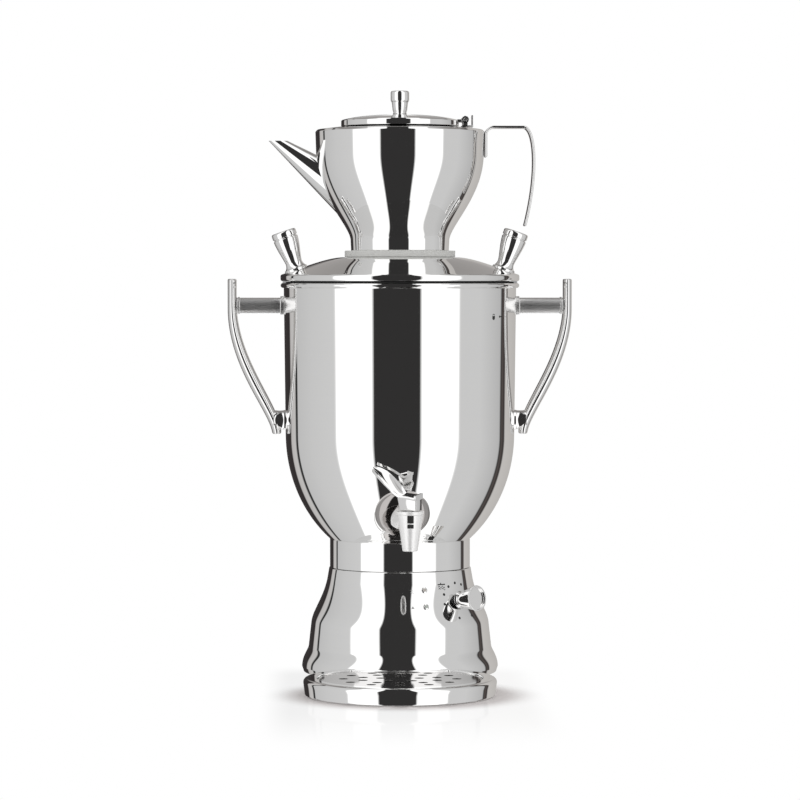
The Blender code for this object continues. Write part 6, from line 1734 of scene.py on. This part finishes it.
class SAMOVAR_OT_tray(bpy.types.Operator):
    """Add the drip tray, its perforated grate and its pads"""

    bl_idname = "samovar.tray"
    bl_label = "Drip tray"

    def execute(self, context):
        sizes = context.scene.samovar_sizes
        bottom = TRAY_FOOT_HEIGHT + SEAT_GAP
        back = HOUSING_FLARE_RADIUS + TRAY_BACK_GAP
        recess_back = back + TRAY_BACK_WALL
        ledge = TRAY_HEIGHT - GRATE_DEPTH - SEAT_GAP
        floor = bottom + TRAY_FLOOR_THICKNESS
        basin_back = recess_back + TRAY_RECESS_RADIUS - TRAY_LEDGE_RADIUS
        self.add_tray([
            (TRAY_BOTTOM_RADIUS, bottom, back, TRAY_EDGE_ROUND, TRAY_EDGE_ROUND),
            (TRAY_RADIUS, TRAY_HEIGHT, back, TRAY_RIM_ROUND, TRAY_EDGE_ROUND),
            (TRAY_RECESS_RADIUS, TRAY_HEIGHT, recess_back, TRAY_LIP_ROUND, TRAY_LIP_ROUND),
            (TRAY_RECESS_RADIUS, ledge, recess_back, TRAY_EDGE_ROUND / 2, TRAY_EDGE_ROUND / 2),
            (TRAY_LEDGE_RADIUS, ledge, basin_back, TRAY_EDGE_ROUND, TRAY_EDGE_ROUND),
            (TRAY_LEDGE_RADIUS, floor, basin_back, TRAY_EDGE_ROUND, TRAY_EDGE_ROUND),
        ])
        self.add_grate(TRAY_HEIGHT - GRATE_DEPTH, recess_back)
        outline = rounded([(0, bottom), (TRAY_PAD_RADIUS, bottom), (TRAY_PAD_RADIUS, 0), (0, 0)],
                          sizes.fine_round)
        for number, degrees in enumerate(TRAY_PAD_ANGLES, 1):
            place = self.middle() @ ring_places(1, TRAY_PAD_CIRCLE_RADIUS, first=math.radians(degrees))[0]
            dress(turned("sole_pad_%d" % number, outline, sizes.fitting_steps, place), "tray",
                  "black_rubber", "tray_pad_%d" % number)
        return {"FINISHED"}

    def turn(self):
        """The small turn of the whole tray about the base's axis."""
        return Matrix.Rotation(TRAY_TURN, 4, "Z")

    def middle(self):
        """The place of the tray's middle."""
        return self.turn() @ Matrix.Translation((0, -TRAY_CENTRE, 0))

    def add_tray(self, corners):
        """The tray, drawn through plans that follow its wall up, over its rim and down into its basin."""
        wall = rounded([(0, corners[0][1])] + [(radius, height, front_round)
                                               for radius, height, _, front_round, _ in corners]
                       + [(0, corners[-1][1])], TRAY_EDGE_ROUND)[1:-1]
        back = rounded([(corners[0][2] + TRAY_CENTRE, corners[0][1])]
                       + [(reach, height, back_round) for _, height, reach, _, back_round in corners]
                       + [(corners[-1][2] + TRAY_CENTRE, corners[-1][1])], TRAY_EDGE_ROUND)[1:-1]
        loops = [tray_loop(radius, reach, height, level)
                 for (radius, height), (reach, level) in zip(wall, back)]
        dress(loft("tray_shell", loops, self.turn()), "tray", "tray_steel", "drip_tray",
              slot="polished_steel")

    def add_grate(self, low, recess_back):
        """The perforated disc that lies in the tray."""
        high = low + GRATE_THICKNESS
        radius = TRAY_RECESS_RADIUS - RUNNING_GAP
        back = recess_back + RUNNING_GAP
        loops = [tray_loop(radius - inset, back + inset, level, level) for inset, level in (
            (SEATED, low), (0, low + SEATED), (0, high - SEATED), (SEATED, high))]
        grate = loft("grate_disc", loops, self.turn())
        pegs = [rod("peg", GRATE_HOLE_RADIUS, low - OVERRUN, high + OVERRUN, GRATE_HOLE_STEPS,
                    self.middle() @ place)
                for circle, count, first in GRATE_RINGS
                for place in ring_places(count, circle, first=math.radians(first))]
        combine(grate, [joined(*pegs)], "DIFFERENCE")
        soften(grate, GRATE_HOLE_ROUND, GRATE_HOLE_SEGMENTS, GRATE_HOLE_ANGLE)
        bpy.ops.object.shade_smooth_by_angle(angle=SMOOTH_ANGLE)
        dress(grate, "grate", "grate_steel", "drip_grate", slot="satin_steel")


class SAMOVAR_OT_marks(bpy.types.Operator):
    """Add the marks printed on the steel: the dial's dots, the lamps' signs and the padlock; and painted
    reflections on the tap's barrel
    """

    bl_idname = "samovar.marks"
    bl_label = "Printed marks"

    def execute(self, context):
        housing = housing_side(0.0, HOUSING_STEPS)
        dot = arc((0, 0), DOT_RADIUS, 0, DOT_LAST_ANGLE, DOT_STEPS)
        marks = [self.stamp(dot, housing, *spot) for spot in DIAL_DOTS]
        heat = [self.box_outline(*line) for line in HEAT_LINES]
        heat += [self.wave_outline(rise, *HEAT_WAVE) for rise in HEAT_WAVE_RISES]
        marks += [self.stamp(outline, housing, *HEAT_SIGN) for outline in heat]
        dress(joined(*marks), "urn", "printed_marks", slot="black_plastic").name = "base_marks"
        steam = [self.wave_outline(rise, *STEAM_WAVE) for rise in STEAM_WAVE_RISES]
        hollow = [(across * DROP_HOLLOW, up * DROP_HOLLOW) for across, up in DROP_OUTLINE]
        drop = [*DROP_OUTLINE, DROP_OUTLINE[0], hollow[0], *hollow[:0:-1]]
        signs = [self.stamp(outline, housing, *STEAM_SIGN) for outline in steam]
        signs.append(self.stamp(drop, housing, *DROP_SIGN))
        dress(joined(*signs), "urn", "faint_marks", slot="black_plastic").name = "lamp_signs"
        self.add_lock()
        self.add_patches()
        return {"FINISHED"}

    def add_patches(self):
        """Painted reflection: two small black patches on the front of the tap's barrel."""
        patches = []
        for low, height in BARREL_PAINTED_REFLECTIONS:
            bpy.ops.object.select_all(action="DESELECT")
            bpy.ops.mesh.primitive_grid_add(
                x_subdivisions=BARREL_REFLECTION_COLUMNS, y_subdivisions=BARREL_REFLECTION_ROWS, size=1)
            patch = bpy.context.object
            for vertex in patch.data.vertices:
                level = low + (vertex.co.y + 0.5) * height
                radius = barrel_radius(level) + MARK_THICKNESS
                angle = vertex.co.x * BARREL_REFLECTION_WIDTH / radius
                spot = Vector((radius * math.sin(angle), -radius * math.cos(angle), level))
                vertex.co = barrel_frame() @ spot
            modifier = patch.modifiers.new("thick", "SOLIDIFY")
            modifier.thickness = MARK_THICKNESS
            bpy.ops.object.modifier_apply(modifier=modifier.name)
            patches.append(patch)
        dress(joined(*patches), "urn", "printed_marks", slot="black_plastic").name = "barrel_patches"

    def add_lock(self):
        """A padlock and an arrow beside the rim: the lid turns to lock."""
        body = arc(LOCK_BODY_CENTRE, LOCK_BODY_RADIUS, 180, 360, LOCK_STEPS)
        body += [(LOCK_BODY_RADIUS, LOCK_BODY_TOP), (-LOCK_BODY_RADIUS, LOCK_BODY_TOP)]
        hasp = arc(HASP_CENTRE, HASP_OUTER_RADIUS, 0, 180, LOCK_STEPS)
        hasp += arc(HASP_CENTRE, HASP_INNER_RADIUS, 180, 0, LOCK_STEPS)
        marks = [self.stamp(outline, vessel_side(), *LOCK_SIGN) for outline in (body, hasp)]
        marks += [self.stamp(outline, vessel_side(), *ARROW_SIGN)
                  for outline in (self.box_outline(*ARROW_SHAFT), ARROW_HEAD)]
        dress(joined(*marks), "urn", "printed_marks", slot="black_plastic").name = "lock_marks"

    def box_outline(self, across, up, width, height):
        """A short upright or level line about a point."""
        return [(across - width / 2, up - height / 2), (across + width / 2, up - height / 2),
                (across + width / 2, up + height / 2), (across - width / 2, up + height / 2)]

    def wave_outline(self, up, width, thickness):
        """A level line that waves up and down."""
        crest = []
        for step in range(WAVE_STEPS + 1):
            swing = thickness * WAVE_SWING * math.sin(2 * math.pi * step / WAVE_LENGTH_STEPS)
            crest.append((width * (step / WAVE_STEPS - 0.5), up + swing))
        low = [(across, rise - thickness / 2) for across, rise in crest]
        return low + [(across, rise + thickness / 2) for across, rise in crest[::-1]]

    def stamp(self, outline, side, degrees, height):
        """A thin flat mark on a turned side, at an angle from the front and a height."""
        radius, tilt = on_side(side, height)
        azimuth = math.radians(degrees)
        flat = math.cos(tilt)
        out = Vector((flat * math.sin(azimuth), -flat * math.cos(azimuth), math.sin(tilt)))
        across = Vector((math.cos(azimuth), math.sin(azimuth), 0))
        up = out.cross(across)
        centre = Vector((radius * math.sin(azimuth), -radius * math.cos(azimuth), height))
        turn = Matrix((across, -out, up)).transposed().to_4x4()
        middle = centre + out * (MARK_THICKNESS / 2)
        return slab("mark", outline, MARK_THICKNESS, 0, Matrix.Translation(middle) @ turn)


class SAMOVAR_OT_fittings(bpy.types.Operator):
    """Finish the frame's own screws, heater, valve and base plate"""

    bl_idname = "samovar.fittings"
    bl_label = "Inner fittings"

    def execute(self, context):
        slots = [entry.get("slot") for entry in frame["record"].get("materials", [])]
        for node in frame["nodes"].values():
            for holder in node.material_slots:
                name = holder.material.name.split(".")[0] if holder.material else slots[0]
                holder.material = finish(name if name in slots else "satin_steel")
        return {"FINISHED"}


class SAMOVAR_PT_panel(bpy.types.Panel):
    """Lists the samovar's pieces in the sidebar"""

    bl_idname = "SAMOVAR_PT_panel"
    bl_label = "Electric samovar"
    bl_space_type = "VIEW_3D"
    bl_region_type = "UI"
    bl_category = "Samovar"

    def draw(self, context):
        for group in (context.scene.samovar_sizes, context.scene.samovar_colours):
            for name in group.__annotations__:
                self.layout.prop(group, name)
        for operator in OPERATORS:
            self.layout.operator(operator.bl_idname)


OPERATORS = (SAMOVAR_OT_stage, SAMOVAR_OT_base, SAMOVAR_OT_vessel, SAMOVAR_OT_handles, SAMOVAR_OT_lid,
             SAMOVAR_OT_teapot, SAMOVAR_OT_teapot_lid, SAMOVAR_OT_tap, SAMOVAR_OT_controls, SAMOVAR_OT_tray,
             SAMOVAR_OT_marks, SAMOVAR_OT_fittings)
CLASSES = (SamovarSizes, SamovarColours) + OPERATORS + (SAMOVAR_PT_panel,)


def register():
    """Register the classes and hang the settings on the scene."""
    for kind in CLASSES:
        bpy.utils.register_class(kind)
    bpy.types.Scene.samovar_sizes = bpy.props.PointerProperty(type=SamovarSizes)
    bpy.types.Scene.samovar_colours = bpy.props.PointerProperty(type=SamovarColours)


def unregister():
    """Take the settings off the scene and unregister the classes."""
    del bpy.types.Scene.samovar_colours
    del bpy.types.Scene.samovar_sizes
    for kind in reversed(CLASSES):
        bpy.utils.unregister_class(kind)


def main():
    """Build every piece in order."""
    register()
    bpy.ops.samovar.stage()
    bpy.ops.samovar.base()
    bpy.ops.samovar.vessel()
    bpy.ops.samovar.handles()
    bpy.ops.samovar.lid()
    bpy.ops.samovar.teapot()
    bpy.ops.samovar.teapot_lid()
    bpy.ops.samovar.tap()
    bpy.ops.samovar.controls()
    bpy.ops.samovar.tray()
    bpy.ops.samovar.marks()
    bpy.ops.samovar.fittings()


if __name__ == "__main__":
    main()
